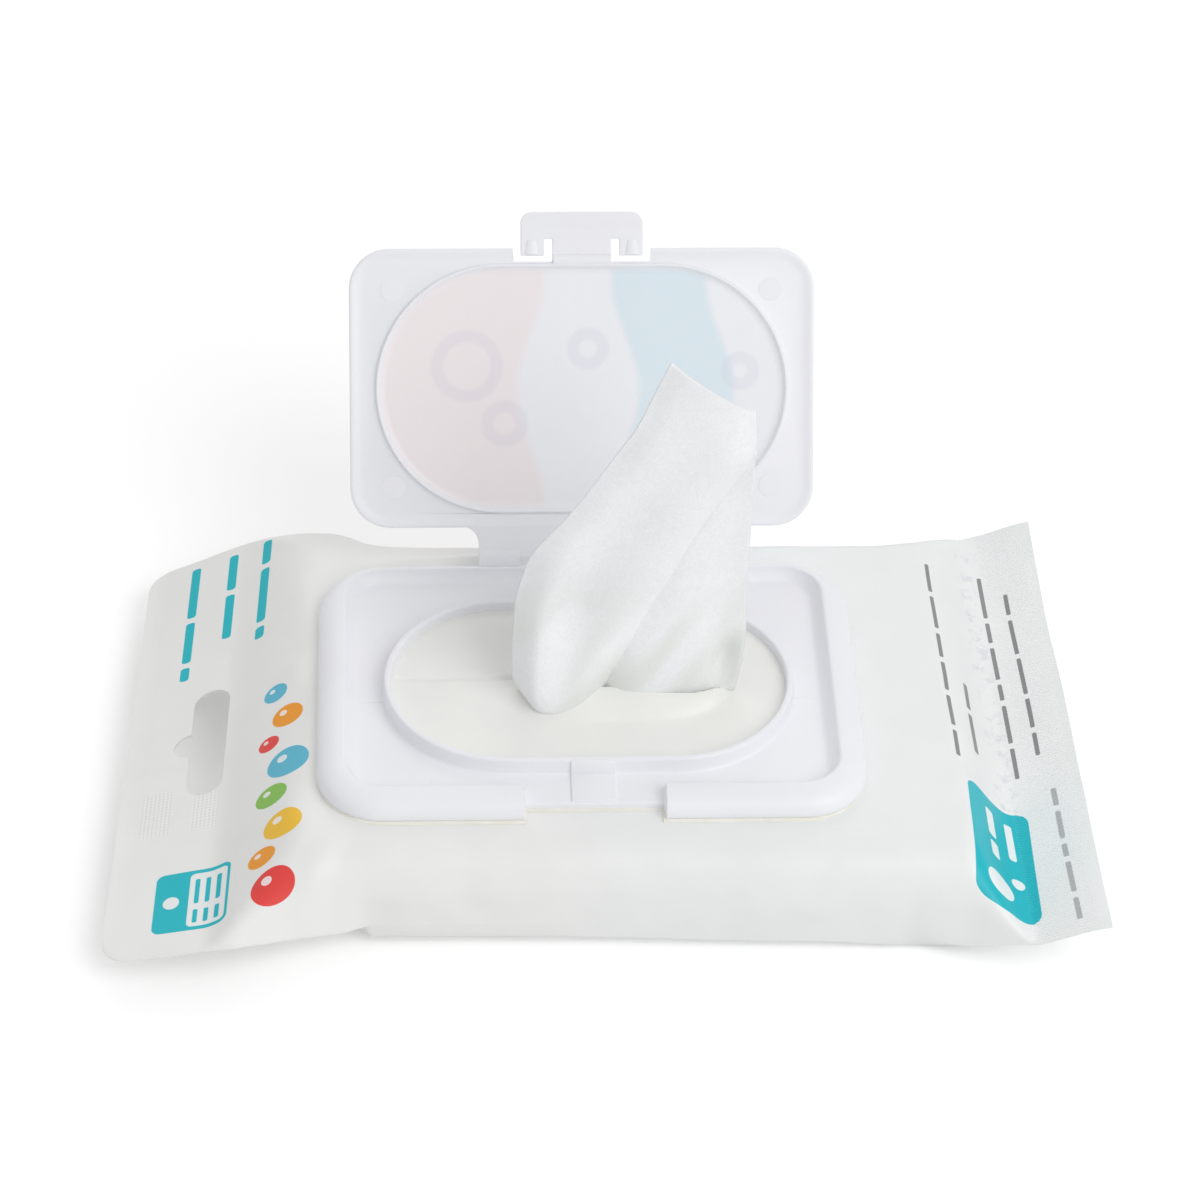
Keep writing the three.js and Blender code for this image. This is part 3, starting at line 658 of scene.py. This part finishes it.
def outline_at(stations, size, out, z, back_share=1):
    """A level loop some way out from a rounded rectangle: (half its width, front, back, corner radius)."""
    half, front, back, radius = (edge + out * way for edge, way in zip(size, (1, -1, back_share, 1)))
    x = half - radius
    low = front + radius
    high = back - radius
    corners = [(x, low), (x, high), (-x, high), (-x, low)]
    points = []
    for stretch, share in stations:
        corner = corners[stretch // 2]
        if stretch % 2:
            angle = math.radians(90 * (stretch // 2 - 1 + share))
            off_x, off_y = radius * math.cos(angle), radius * math.sin(angle)
            points.append(Vector((corner[0] + off_x, corner[1] + off_y, z)))
            continue
        starts = [(-x, front), (half, low), (x, back), (-half, high)]
        ends = [(x, front), (half, high), (-x, back), (-half, low)]
        along = Vector(starts[stretch // 2]).lerp(Vector(ends[stretch // 2]), share)
        points.append(Vector((along.x, along.y, z)))
    return points


def loft(loops, ring=False):
    """A skin over loops of equal count: closed into a ring, or left open with its two ends filled."""
    rows = loops + loops[:1] if ring else loops
    bm = skin_over(list(zip(*(row + row[:1] for row in rows))))
    bmesh.ops.remove_doubles(bm, verts=bm.verts, dist=1e-5)
    if not ring:
        close_ends(bm)
    return bm


def adhesive_bead():
    """The flat ring with its pressed-out outer edge, cut back behind the thumb notch."""
    half, front, back, corner = FRAME
    stations = outline_stations(60, NOTCH_HALF / (2 * (half - corner)), 0.01)
    bulge = [(1.2, BEAD_FOOT), (-0.3, BEAD_FOOT), (-0.5, 19.62), (-0.35, 19.8), (0.1, BEAD_TOP),
             (0.8, BEAD_TOP)]
    loops = []
    for way, z in bulge:
        inset = max(way, 0.1)
        size = (half - inset, front + way, back - inset, corner - way)
        loops.append(outline_at(stations, size, 0, z))
    wide, narrow = (40.5, -25.2, 25.2, 5.5), (36.4, -22.2, 22.2, 22.1)
    inner = [(wide, BEAD_TOP), (narrow, BEAD_TOP), (narrow, BEAD_FOOT), (wide, BEAD_FOOT)]
    loops += [outline_at(stations, size, 0, z) for size, z in inner]
    bm = loft(loops, ring=True)
    for vert in bm.verts:
        edge = max(abs(vert.co.x) / half, abs(vert.co.y) / back)
        if vert.co.y < -BEAD_BACK and abs(vert.co.x) < NOTCH_HALF - 0.35:
            vert.co.y = -BEAD_BACK + 0.1 * (vert.co.y + BEAD_BACK)
        elif edge > 1:
            vert.co += vert.co.normalized() * 0.15 * ripple(vert.co.x, vert.co.y, 4, 0.7)
    return bm


def cream_adhesive():
    material, make, place = start_material("cured_adhesive")
    blotch = cloudy(place, 300, 3.0)
    colour = tint(rise(blotch, 0.3, 0.7), paint(238, 236, 224), paint(243, 242, 236))
    dress(make, {"Base Color": colour, "Roughness": 0.35 + blotch * 0.2,
                 "Normal": relief(blotch, 0.0002, 0.4)})
    return material


adhesive = make_piece("adhesive_bead", adhesive_bead(), cream_adhesive(), "pack")
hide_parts("adhesive_ring")


# Lid frame: one injection moulding in white polypropylene, glued flat on the film. A rounded rim stands
# round a sunken tray, an oval collar rings the opening, and the front rim is cut away for the thumb.
RIM_FRONT = 5.65
RIM_BACK = 1.7
TRAY = 1.2
TRAY_TOP = FRAME_BASE + TRAY
TRAY_FLOOR = (38.3, -22.9, 26.8, 4)
RECESS = (40.85, -25.05, 29, 6.3)
COLLAR = (34.9, -20.7, 20.7, 20.68)
COLLAR_HEIGHT = 4.2
NOTCH_SILL = -27.9
NOTCH_FOOT = -24.1


def edge_round(radius, steps=6):
    """Steps over a rounded edge, from its side to its top: (way in from the side, drop below the top)."""
    angles = [math.pi / 2 * step / steps for step in range(steps + 1)]
    return [(radius * (1 - math.cos(angle)), radius * (1 - math.sin(angle))) for angle in angles]


def thumb_notch(loop, share):
    """Takes a loop of the rim's skin, at its share of the way in, down to the tray's level at the notch."""
    up = within(share / 0.25)
    y = mix(NOTCH_SILL + 0.15 * up ** 4, NOTCH_FOOT, within((share - 0.25) / 0.75))
    z = FRAME_BASE + TRAY * up ** 0.7
    notched = []
    for point in loop:
        sunk = fade(abs(point.x), NOTCH_HALF - 0.28, NOTCH_HALF + 0.28)
        notched.append(point.lerp(Vector((point.x, y, z)), sunk if point.y < -22 else 0))
    return notched


def flat_plate(outline, low, high, bevel):
    """A flat moulded plate from its outline, with softened edges."""
    bm = extruded([(x, y, low) for x, y in outline], (0, 0, high - low))
    sharp = [edge for edge in bm.edges if edge.calc_face_angle(0) > math.radians(28)]
    soften(bm, sharp, bevel)
    return bm


def add_shape(bm, other):
    """Adds another shape of the same moulding."""
    mesh = bpy.data.meshes.new("part")
    other.to_mesh(mesh)
    other.free()
    bm.from_mesh(mesh)
    bpy.data.meshes.remove(mesh)


def add_catch(bm):
    """A snap nub on the collar's front, and the low strip that runs from it to the notch."""
    half, edge = 3.75, 0.16
    strip = [(-half, -27.6), (half, -27.6), (half, -20.5), (-half, -20.5)]
    add_shape(bm, flat_plate(strip, TRAY_TOP - 0.2, TRAY_TOP + 0.35, edge))
    side = [(-21.1, 1.4), (-21.1, 2.2), (-20.85, 4.0), (-20.3, 4.1), (-20.3, 1.4)]
    nub = extruded([(-half, y, FRAME_BASE + z) for y, z in side], (2 * half, 0, 0))
    soften(nub, nub.edges[:], edge)
    add_shape(bm, nub)


def frame_ring():
    """The whole frame as one skin, from its foot over the rim, down the recess and up round the collar."""
    stations = outline_stations(150, notch_share=0.1655)
    half, front, back, corner = RECESS
    ease = RIM_BACK / RIM_FRONT

    def at(size, out, z, back_share=1):
        return outline_at(stations, size, out, FRAME_BASE + z, back_share)

    domed = [(0.35, 0), (0.1, 0.1), (0, 0.35), (0.05, 0.9), (0.15, 1.45), (0.35, 1.95), (0.65, 2.36),
             (1.05, 2.7), (1.5, 2.97), (2.0, 3.2), (2.5, 3.37), (3.0, 3.5), (3.5, 3.58)]
    ridge = [(0.95, 3.6), (0.65, 3.56), (0.45, 3.44), (0.3, 3.26)]
    slope = [(0.1, 2.95), (-0.4, 2.3), (-0.9, 1.72), (-1.25, 1.42), (-1.6, 1.25), (-2, TRAY)]
    rim = [at(FRAME, -way, z, ease) for way, z in domed]
    rim += [at(RECESS, out, z, ease) for out, z in ridge]
    rim += [at((half, front + out - max(out, -0.6), back, corner), out, z, 0.8) for out, z in slope]
    loops = [thumb_notch(loop, step / (len(rim) - 1)) for step, loop in enumerate(rim)]
    loops += [at(TRAY_FLOOR, 0, TRAY)]
    loops += [at(COLLAR, out, TRAY + drop) for out, drop in reversed(edge_round(0.5, 4))]
    loops += [at(COLLAR, -0.08, 2.9), at(COLLAR, -0.09, 3.2)]
    loops += [at(COLLAR, -0.12 - way, COLLAR_HEIGHT - drop) for way, drop in edge_round(0.42, 5)]
    loops += [at(COLLAR, way - 1.3, COLLAR_HEIGHT - drop) for way, drop in reversed(edge_round(0.42, 5))]
    loops += [at(COLLAR, -1.35, 2.0), at(COLLAR, -1.4, 0), at(RECESS, 0, 0)]
    bm = loft(loops, ring=True)
    add_catch(bm)
    return bm


def ejector_mark(bm, centre, radius):
    """The faint round left by an ejector pin, barely proud of the wall."""
    bmesh.ops.create_cone(bm, cap_ends=True, segments=36, radius1=radius, radius2=radius - 0.12, depth=0.16,
                          matrix=Matrix.Translation(centre))


def moulded_plastic(name, label_seen=False):
    """Satin white polypropylene, cool and a little see-through; on the lid the label's colours are painted
    in where they show through.
    """
    material, make, place = start_material(name)
    cloud = cloudy(place, 40, 3.0)
    grain = cloudy(place, 2600)
    white = tint(rise(cloud, 0.3, 0.7), paint(241, 241, 246), paint(243, 244, 248))
    # Painted show-through: the label's colours, faint and blurred, are painted into the lid's own colour as
    # light coming through the plastic.
    colour = label_print(make, white, strength=0.34, blur=1, reach=20.9) if label_seen else white
    dress(make, {"Base Color": colour, "Roughness": 0.4 + grain * 0.08,
                 "Normal": relief(grain, 0.00005, 0.25),
                 "Subsurface Weight": 0.12, "Subsurface Radius": (0.0015, 0.0015, 0.0018)})
    return material


frame_shape = frame_ring()
for side in (-1, 1):
    ejector_mark(frame_shape, (side * 25.2, -23.0, TRAY_TOP - 0.02), 1.9)
    rib = [(side * 34.6, -2.75), (side * 34.6, -2.45), (side * 40.9, -2.45), (side * 40.9, -2.75)]
    add_shape(frame_shape, flat_plate(rib, TRAY_TOP - 0.2, TRAY_TOP + 0.1, 0.05))
frame_plastic = moulded_plastic("moulded_frame")
lid_frame = make_piece("moulded_lid_frame", frame_shape, frame_plastic, "pack",
                       sharp_angle=50)
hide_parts("lid_frame")


# Lid: the other half of the same moulding. A thin plate has a turned-down skirt, an oval sealing ring
# inside, a tongue to the hinge and a thumb tab with a snap bead; its printed label shows through.
HINGE = Vector((0, 30.1, 24.4))
OPEN_ANGLE = math.radians(-124)
LID_FRONT = -54.4
LID_BACK = -5.9
LID_MIDDLE = (LID_FRONT + LID_BACK) / 2
LID_PLATE = (40.35, LID_FRONT, LID_BACK, 7)
LID_WALL = 1.1
SEALING_RING = (35.25, -51.15, -9.05, 21.03)
LABEL_SEAT = (34.3, LID_MIDDLE - 19.8, LID_MIDDLE + 19.8, 19.78)
TAB_NOTCH_HALF = 11.9
TAB_NOTCH_DEPTH = 2.4
TONGUE_HALF = 18.1


def lid_piece(name, bm, material, sharp_angle=38):
    """A piece shaped on the closed lid, from the hinge, mapped there for the print and swung open."""
    lid_map = bm.loops.layers.uv.new("lid")
    for vert in bm.verts:
        for loop in vert.link_loops:
            loop[lid_map].uv = (vert.co.x * 0.01, vert.co.y * 0.01)
    turn = Matrix.Translation(HINGE) @ Matrix.Rotation(OPEN_ANGLE, 4, "X")
    bmesh.ops.transform(bm, matrix=turn, verts=bm.verts)
    return make_piece(name, bm, material, "lid", sharp_angle)


def tab_notch(loop):
    """Cuts a loop of the plate's edge back to the gap round the thumb tab."""
    gap_front, gap_back = LID_FRONT + TAB_NOTCH_DEPTH - 0.05, LID_FRONT + TAB_NOTCH_DEPTH
    cut_back = []
    for point in loop:
        share = fade(abs(point.x), TAB_NOTCH_HALF - 0.08, TAB_NOTCH_HALF + 0.08)
        if point.y > LID_FRONT + 2.2:
            share = 0
        y = mix(gap_front, gap_back, within((point.y - LID_FRONT) / 2))
        cut_back.append(point.lerp(Vector((point.x, y, max(point.z, -0.05))), share))
    return cut_back


def tongue_gap(point):
    """The skirt dies away where the tongue leaves the back edge."""
    share = fade(abs(point.x), TONGUE_HALF + 0.6, TONGUE_HALF + 3.4)
    if share == 0 or point.y < LID_BACK - 2.4 or point.z > 0:
        return point
    return Vector((point.x, point.y, point.z * (1 - 0.93 * share)))


def lid_shell():
    """The lid as one skin: the sealing ring inside, the plate and its edge, and the label's seat outside."""
    stations = outline_stations(150, TAB_NOTCH_HALF / (2 * (LID_PLATE[0] - LID_PLATE[3])))
    behind_notch = 2.46

    def plate(way, z):
        return outline_at(stations, LID_PLATE, -way, z)

    seal = [(-1.3, 0), (-1.2, 0), (-0.9, 0.04), (-0.6, 0.12), (-0.35, 0.24), (-0.15, 0.42), (0, 0.62),
            (0.14, 0.8), (0.3, 0.88), (0.45, 0.84), (0.55, 0.7), (0.61, 0.45), (0.64, 0.15), (0.7, 0.03),
            (0.76, 0)]
    edge = [(behind_notch, 0), (2.1, 0), (1.8, 0.03), (1.5, 0.09), (1.2, 0.18), (0.9, 0.27), (0.6, 0.33),
            (0.35, 0.35), (0.15, 0.3), (0.04, 0.2), (0, 0.08)]
    rim = [plate(way, -drop) for way, drop in edge]
    rim += [plate(way, LID_WALL - drop) for way, drop in edge_round(0.9)]
    rim += [plate(behind_notch, LID_WALL)]
    seat = [(0.3, 1.58), (0.12, 1.6), (0, 1.52), (0, 1.22)]
    loops = [outline_at(stations, SEALING_RING, out, -drop) for out, drop in seal]
    loops += [[tongue_gap(point) for point in tab_notch(loop)] for loop in rim]
    loops += [outline_at(stations, LABEL_SEAT, out, z) for out, z in seat]
    return loft(loops)


def hinge_tongue():
    """The wide tongue from the lid's back edge to the hinge, with a fillet at each root."""
    fillet = 3
    wide, seam = TONGUE_HALF + fillet + 1.5, LID_BACK - 0.1
    right = [(wide, LID_BACK - 2.2), (wide, seam)]
    right += arc_points((TONGUE_HALF + fillet, seam + fillet), fillet, 270, 180)
    right += [(TONGUE_HALF, -0.6)]
    left = [(-x, y) for x, y in reversed(right)]
    return flat_plate(right + left, 0.03, LID_WALL - 0.05, 0.2)


def thumb_tab():
    """The tab on its stem: two legs hang beside the stem, and the lip past the fold bends outwards."""
    half, stem, leg_inner = 10.6, 5.1, 6.5
    shoulder = LID_FRONT - 1.6
    fold = shoulder - 1.8
    toe = shoulder + 2.95
    lip = fold - 2.8
    corner, chamfer, bend = 2.0, 0.15, math.radians(32)
    right = [(stem, LID_FRONT + 4.2), (stem, shoulder + chamfer), (stem + chamfer, shoulder),
             (leg_inner - chamfer, shoulder), (leg_inner, shoulder + chamfer), (leg_inner, toe), (half, toe),
             (half, fold)]
    right += list(reversed(arc_points((half - corner, lip + corner), corner, 270, 360)))
    left = [(-x, y) for x, y in reversed(right)]
    bm = flat_plate(right + left, 0.05, LID_WALL - 0.05, 0.22)
    bmesh.ops.bisect_plane(bm, geom=bm.verts[:] + bm.edges[:] + bm.faces[:], dist=1e-5,
                           plane_co=(0, fold, 0), plane_no=(0, 1, 0))
    for vert in bm.verts:
        if vert.co.y < fold - 1e-4:
            vert.co.z += (fold - vert.co.y) * math.tan(bend)
    lying = Matrix.Translation((0, LID_FRONT + 2.1, 0)) @ Matrix.Rotation(math.pi / 2, 4, "Y")
    bead = bmesh.ops.create_cone(bm, cap_ends=True, segments=24, radius1=1.05, radius2=1.05,
                                 depth=2 * stem - 0.3, matrix=lying)
    for vert in bead["verts"]:
        vert.co.z = min(0.75 * vert.co.z, 0.4)
    for side in (-1, 1):
        upright = Matrix.Translation((side * 8.7, toe - 1.5, 0.1)) @ Matrix.Rotation(math.pi / 2, 4, "X")
        rib = bmesh.ops.create_cone(bm, cap_ends=True, segments=20, radius1=1.2, radius2=0.8, depth=2.4,
                                    matrix=upright)
        for vert in rib["verts"]:
            vert.co.z = min(0.1 + 0.35 * (vert.co.z - 0.1), 0.4)
    return bm


def label_print(make, base, strength, blur, reach):
    """A plain design for the label: a blush field, a pale-blue field with wavy edges, and bubbles."""
    x, y = map_place(make, "lid")
    way = far(larger(abs(x) - 14.5, 0), y - LID_MIDDLE)
    printed = (1 - rise(way, reach - blur, reach + 0.2 * blur)) * strength
    wave = sine(y * 0.16) * 2.4
    blush = 1 - rise(x + wave, -9.0 - blur, -9.0 + blur)
    colour = tint(printed * blush, base, paint(246, 222, 218))
    blue = rise(x - wave, 7.5 - blur, 7.5 + blur) * (1 - rise(x - wave, 24 - blur, 24 + blur))
    colour = tint(printed * blue, colour, paint(178, 219, 233))
    for centre, radius in (((-20, -34), 5.2), ((-13.5, -24), 3.0), ((1.0, -37), 2.6), ((27.5, -33), 2.3)):
        off = abs(far(x - centre[0], y - centre[1]) - radius)
        ring = 1 - rise(off, 0.35 + 0.3 * blur, 0.7 + 0.8 * blur)
        colour = tint(printed * ring * 0.5, colour, paint(196, 196, 218))
    return colour


lid_plastic = moulded_plastic("moulded_lid", label_seen=True)
lid_shape = lid_shell()
for x, y in ((-32.8, -47.2), (-32.8, -13.0), (32.8, -47.2), (32.8, -13.0)):
    ejector_mark(lid_shape, (x, y, 0), 2.0)
lid = lid_piece("moulded_lid", lid_shape, lid_plastic, sharp_angle=50)
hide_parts("lid_cover")
lid_piece("lid_tongue", hinge_tongue(), lid_plastic)
lid_piece("lid_thumb_tab", thumb_tab(), lid_plastic, sharp_angle=12)


# Living hinge: two short webs of the same plastic, moulded thin enough to bend, between the frame's back
# rim and the lid's tongue.
WEB_INNER = 11
WEB_OUTER = 18
WEB_THICKNESS = 0.5
WEB_DOWN = -2.2
WEB_UP = 2
TONGUE_WAY = Vector((0, 0.559, 0.829))


def hinge_web(side):
    """A strip that rises from the rim, thins at the hinge and leaves along the open lid's tongue."""
    steps = 24
    ways = [mix(WEB_DOWN, WEB_UP, step / steps) for step in range(steps + 1)]
    left, right = sorted((side * WEB_INNER, side * WEB_OUTER))
    centre = HINGE + Vector((0, 0, WEB_DOWN))
    loops = []
    for way, after in zip(ways, ways[1:] + [WEB_UP]):
        direction = Vector((0, 0, 1)).lerp(TONGUE_WAY, soft_step(way, -0.9, 0.9)).normalized()
        across = Vector((0, direction.z, -direction.y))
        off = across * WEB_THICKNESS * (1 - 0.35 * hump(way, 0, 1.0)) / 2
        corners = [(left, off), (right, off), (right, -off), (left, -off)]
        loops.append([centre + Vector((x, 0, 0)) + thick for x, thick in corners])
        centre = centre + direction * (after - way)
    return loft(loops)


for side, name in ((-1, "hinge_web_left"), (1, "hinge_web_right")):
    web = make_piece(name, hinge_web(side), frame_plastic, None)
    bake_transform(web)


# Label: a printed film oval stuck in the shallow recess on the lid's outside. With the lid open it faces
# away, and only its colours show faintly through the plastic.
LABEL = (34, LID_MIDDLE - 19.5, LID_MIDDLE + 19.5, 19.48)


def label_oval():
    stations = outline_stations(40)
    edge = [(0, 1.23), (0, 1.44), (-0.06, 1.5)]
    return loft([outline_at(stations, LABEL, out, z) for out, z in edge])


def label_material():
    material, make, place = start_material("printed_label")
    grain = cloudy(place, 900)
    white = tint(rise(grain, 0.3, 0.7), paint(236, 237, 240), paint(240, 241, 244))
    colour = label_print(make, white, strength=1, blur=0.08, reach=19.5)
    dress(make, {"Base Color": colour, "Roughness": 0.3 + grain * 0.1})
    return material


label = lid_piece("printed_label", label_oval(), label_material())
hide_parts("lid_label")


# Pulled wipe: the top sheet of the stack, 10 by 15 cm of spun-laced cloth, drawn half out by one corner.
# It leaves the slit gathered in soft pleats and folds back on itself along its right side; its other
# half still lies folded on the stack.
FRONT_LAYER = 0.56
TUCKED_IN = 0.72
LEFT_EDGE = [(0, -4.5, 18.4), (0.03, -10.4, 20), (0.07, -12.7, 23.5), (0.16, -13.3, 30), (0.32, -12.7, 41.5),
             (0.46, -10.3, 51.3), (0.6, -3.2, 60.9), (0.76, 3.9, 72.5), (0.83, 6.9, 77.7), (1, 11.7, 90.6)]
RIGHT_EDGE = [(0, 22.0, 18.4), (0.05, 24.6, 21.5), (0.2, 26.2, 32.2), (0.45, 26.2, 49.9), (0.7, 26.4, 66.4),
              (1, 25.9, 79.8)]
FOLD_EDGE = [(0, 2.0, 18.4), (0.16, 8.3, 30), (0.31, 12.8, 40.3), (0.45, 16.2, 50), (0.58, 20.2, 59),
             (0.7, 24.5, 66.6), (0.76, 26.4, 70.2), (1, 25.9, 79.8)]


def pulled_row(share, columns):
    """One row of the cloth above the slit: front layer, fold, layer behind."""
    reach = 0.03 if 0.03 < share < 0.97 else 0
    edges = LEFT_EDGE, RIGHT_EDGE, FOLD_EDGE
    left, right, fold = [Vector(along_table(edge, share, reach)) for edge in edges]
    tuck = fold - Vector((min(9, 0.45 * (fold.x - left.x)), 0))
    end = right.lerp(fold - Vector((1.6, 0)), soft_step(share, 0.76, 0.86))
    sunk = Vector((0, 4 * soft_step(share, 0.72, 1)))
    tuck, end = tuck - sunk, end - sunk
    foot = 2.4 * fade(share, 0, 0.07) - 1.2 * fade(share, 0.07, 0.35)
    lean = 1.6 * soft_step(share, 0.3, 1)
    row = []
    for column in range(columns + 1):
        s = column / columns
        if s < FRONT_LAYER:
            part = s / FRONT_LAYER
            spot = left.lerp(fold, part)
            pleat = 1.5 * (1 - share) ** 1.3 * soft_step(share, 0, 0.12)
            y = -pleat * math.cos(2 * math.pi * (1.7 * part - 0.1 - 0.25 * share))
            y += (0.5 + 1.9 * fade(share, 0.25, 0.6)) * fade(part, 0, 0.2)
            y -= 5.4 * hump(share, 0.09, 0.24) * hump(part, 0.34, 0.5)
            y -= 1.3 * math.sin(math.pi * part) * (1 - 0.4 * share)
            depth = -0.8 + y + 1.0 * soft_step(part, 0.8, 1)
        elif s < TUCKED_IN:
            part = (s - FRONT_LAYER) / (TUCKED_IN - FRONT_LAYER)
            spot = fold.lerp(tuck, part)
            depth = 0.2 + 0.9 * part
        else:
            part = (s - TUCKED_IN) / (1 - TUCKED_IN)
            spot = tuck.lerp(end, part)
            depth = 1.1 + 0.7 * soft_step(part, 0, 0.1) - 1.4 * math.sin(math.pi * part) * (1 - share)
            depth += 0.6 * (1 - share) * math.sin(2.5 * math.pi * part + 1.0)
            near_slit = fade(share, 0.1, 0.5) * soft_step(share, 0, 0.07)
            depth -= 2.9 * near_slit * soft_step(part, 0, 0.35)
            depth += 2.2 * hump(share, 0.15, 0.1) * hump(part, 0.88, 0.13)
        depth += 0.35 * ripple(spot.x, spot.y, 9, 2.7)
        row.append(Vector((spot.x, foot + lean + depth, spot.y)))
    return row


def stacked_row(share, columns):
    """One row of the half that still lies on the stack: back from the slit, folded, and forward."""
    fan = soft_step(share, 0, 0.34)
    left, right = mix(-4, -44, fan), mix(21, 53, fan)
    turn = 0.36
    if share < turn:
        y, z = mix(3, 36.5, share / turn), 18.3
    else:
        y, z = mix(36.5, -29.5, (share - turn) / (1 - turn)), 18.15
    return [Vector((mix(left, right, column / columns), y, z)) for column in range(columns + 1)]


def pulled_cloth():
    columns, hidden, shown = 150, 40, 150
    rows = [stacked_row(1 - step / hidden, columns) for step in range(hidden)]
    rows += [pulled_row(step / shown, columns) for step in range(shown + 1)]
    ups = [0.15 * row / (len(rows) - 1) for row in range(len(rows))]
    spots = [[(0.1 * column / columns, up) for up in ups] for column in range(columns + 1)]
    bm = skin_over(list(zip(*rows)), "cloth", spots)
    for _ in range(2):
        bmesh.ops.smooth_vert(bm, verts=[vert for vert in bm.verts if not vert.is_boundary], factor=0.5,
                              use_axis_x=True, use_axis_y=True, use_axis_z=True)
    return bm


pulled_material = wipe_cloth("pulled_cloth", paint(248, 249, 251))
wipe = make_piece("pulled_cloth", pulled_cloth(), pulled_material, "pack", sharp_angle=70)
cloth_body = wipe.modifiers.new("cloth body", "SOLIDIFY")
cloth_body.thickness = 0.00022
cloth_body.offset = 0
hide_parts("pulled_wipe")
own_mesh(wipe)


# Studio: a pale floor that keeps the pack's shadow, soft light from all round, a broad lamp above and to
# the right with a weaker one behind, and the photograph's camera.
FLOOR_HALF = 3
FLOOR_TONE = (0.9, 0.9, 0.9, 1)
FLOOR_GLOW = 0.26
ROOM_LIGHT = 0.6


def studio_floor():
    bm = bmesh.new()
    bmesh.ops.create_grid(bm, x_segments=1, y_segments=1, size=FLOOR_HALF)
    floor = add_object("floor", bm)
    material = bpy.data.materials.new("pale_floor")
    material.use_nodes = True
    tree = material.node_tree
    tree.nodes.remove(tree.nodes["Principled BSDF"])
    make = Shade(tree)
    seen = make.node("ShaderNodeLightPath", output="Is Camera Ray")
    seen = larger(seen, seen.other("Is Glossy Ray"))
    matt = make.node("ShaderNodeBsdfDiffuse", {"Color": FLOOR_TONE})
    glow = make.node("ShaderNodeEmission", {"Color": (1, 1, 1, 1), "Strength": seen * FLOOR_GLOW})
    lit = make.node("ShaderNodeAddShader", {0: matt, 1: glow})
    make.feed(tree.nodes["Material Output"].inputs["Surface"], lit)
    floor.data.materials.append(material)


studio_floor()

world = bpy.data.worlds.new("studio")
world.use_nodes = True
bpy.context.scene.world = world
background = world.node_tree.nodes["Background"].inputs
background["Color"].default_value = (1, 1, 1, 1)
background["Strength"].default_value = ROOM_LIGHT


def soft_lamp(name, location, size, power):
    """A square lamp turned towards the pack."""
    data = bpy.data.lights.new(name, "AREA")
    data.shape = "SQUARE"
    data.size = size
    data.energy = power
    made = bpy.data.objects.new(name, data)
    made.location = location
    made.rotation_euler = (Vector((0, 0, 0.02)) - Vector(location)).to_track_quat("-Z", "Y").to_euler()
    bpy.context.collection.objects.link(made)


soft_lamp("side_lamp", (0.48, -0.5, 0.7), size=0.7, power=3.7)
soft_lamp("back_lamp", (0, 0.72, 0.5), size=0.7, power=1.2)

camera_data = bpy.data.cameras.new("camera")
camera_data.sensor_width = 36
camera_data.lens = 132.63
camera_data.clip_start = 0.05
camera = bpy.data.objects.new("camera", camera_data)
camera.location = (-0.03217, -0.55673, 0.52509)
aim = Vector((0.001466, 0, 0.041326))
looking = (aim - Vector(camera.location)).to_track_quat("-Z", "Y")
camera.rotation_euler = (looking @ Quaternion((0, 0, 1), math.radians(1.851))).to_euler()
bpy.context.collection.objects.link(camera)
bpy.context.scene.camera = camera
bpy.context.scene.view_settings.view_transform = "Standard"
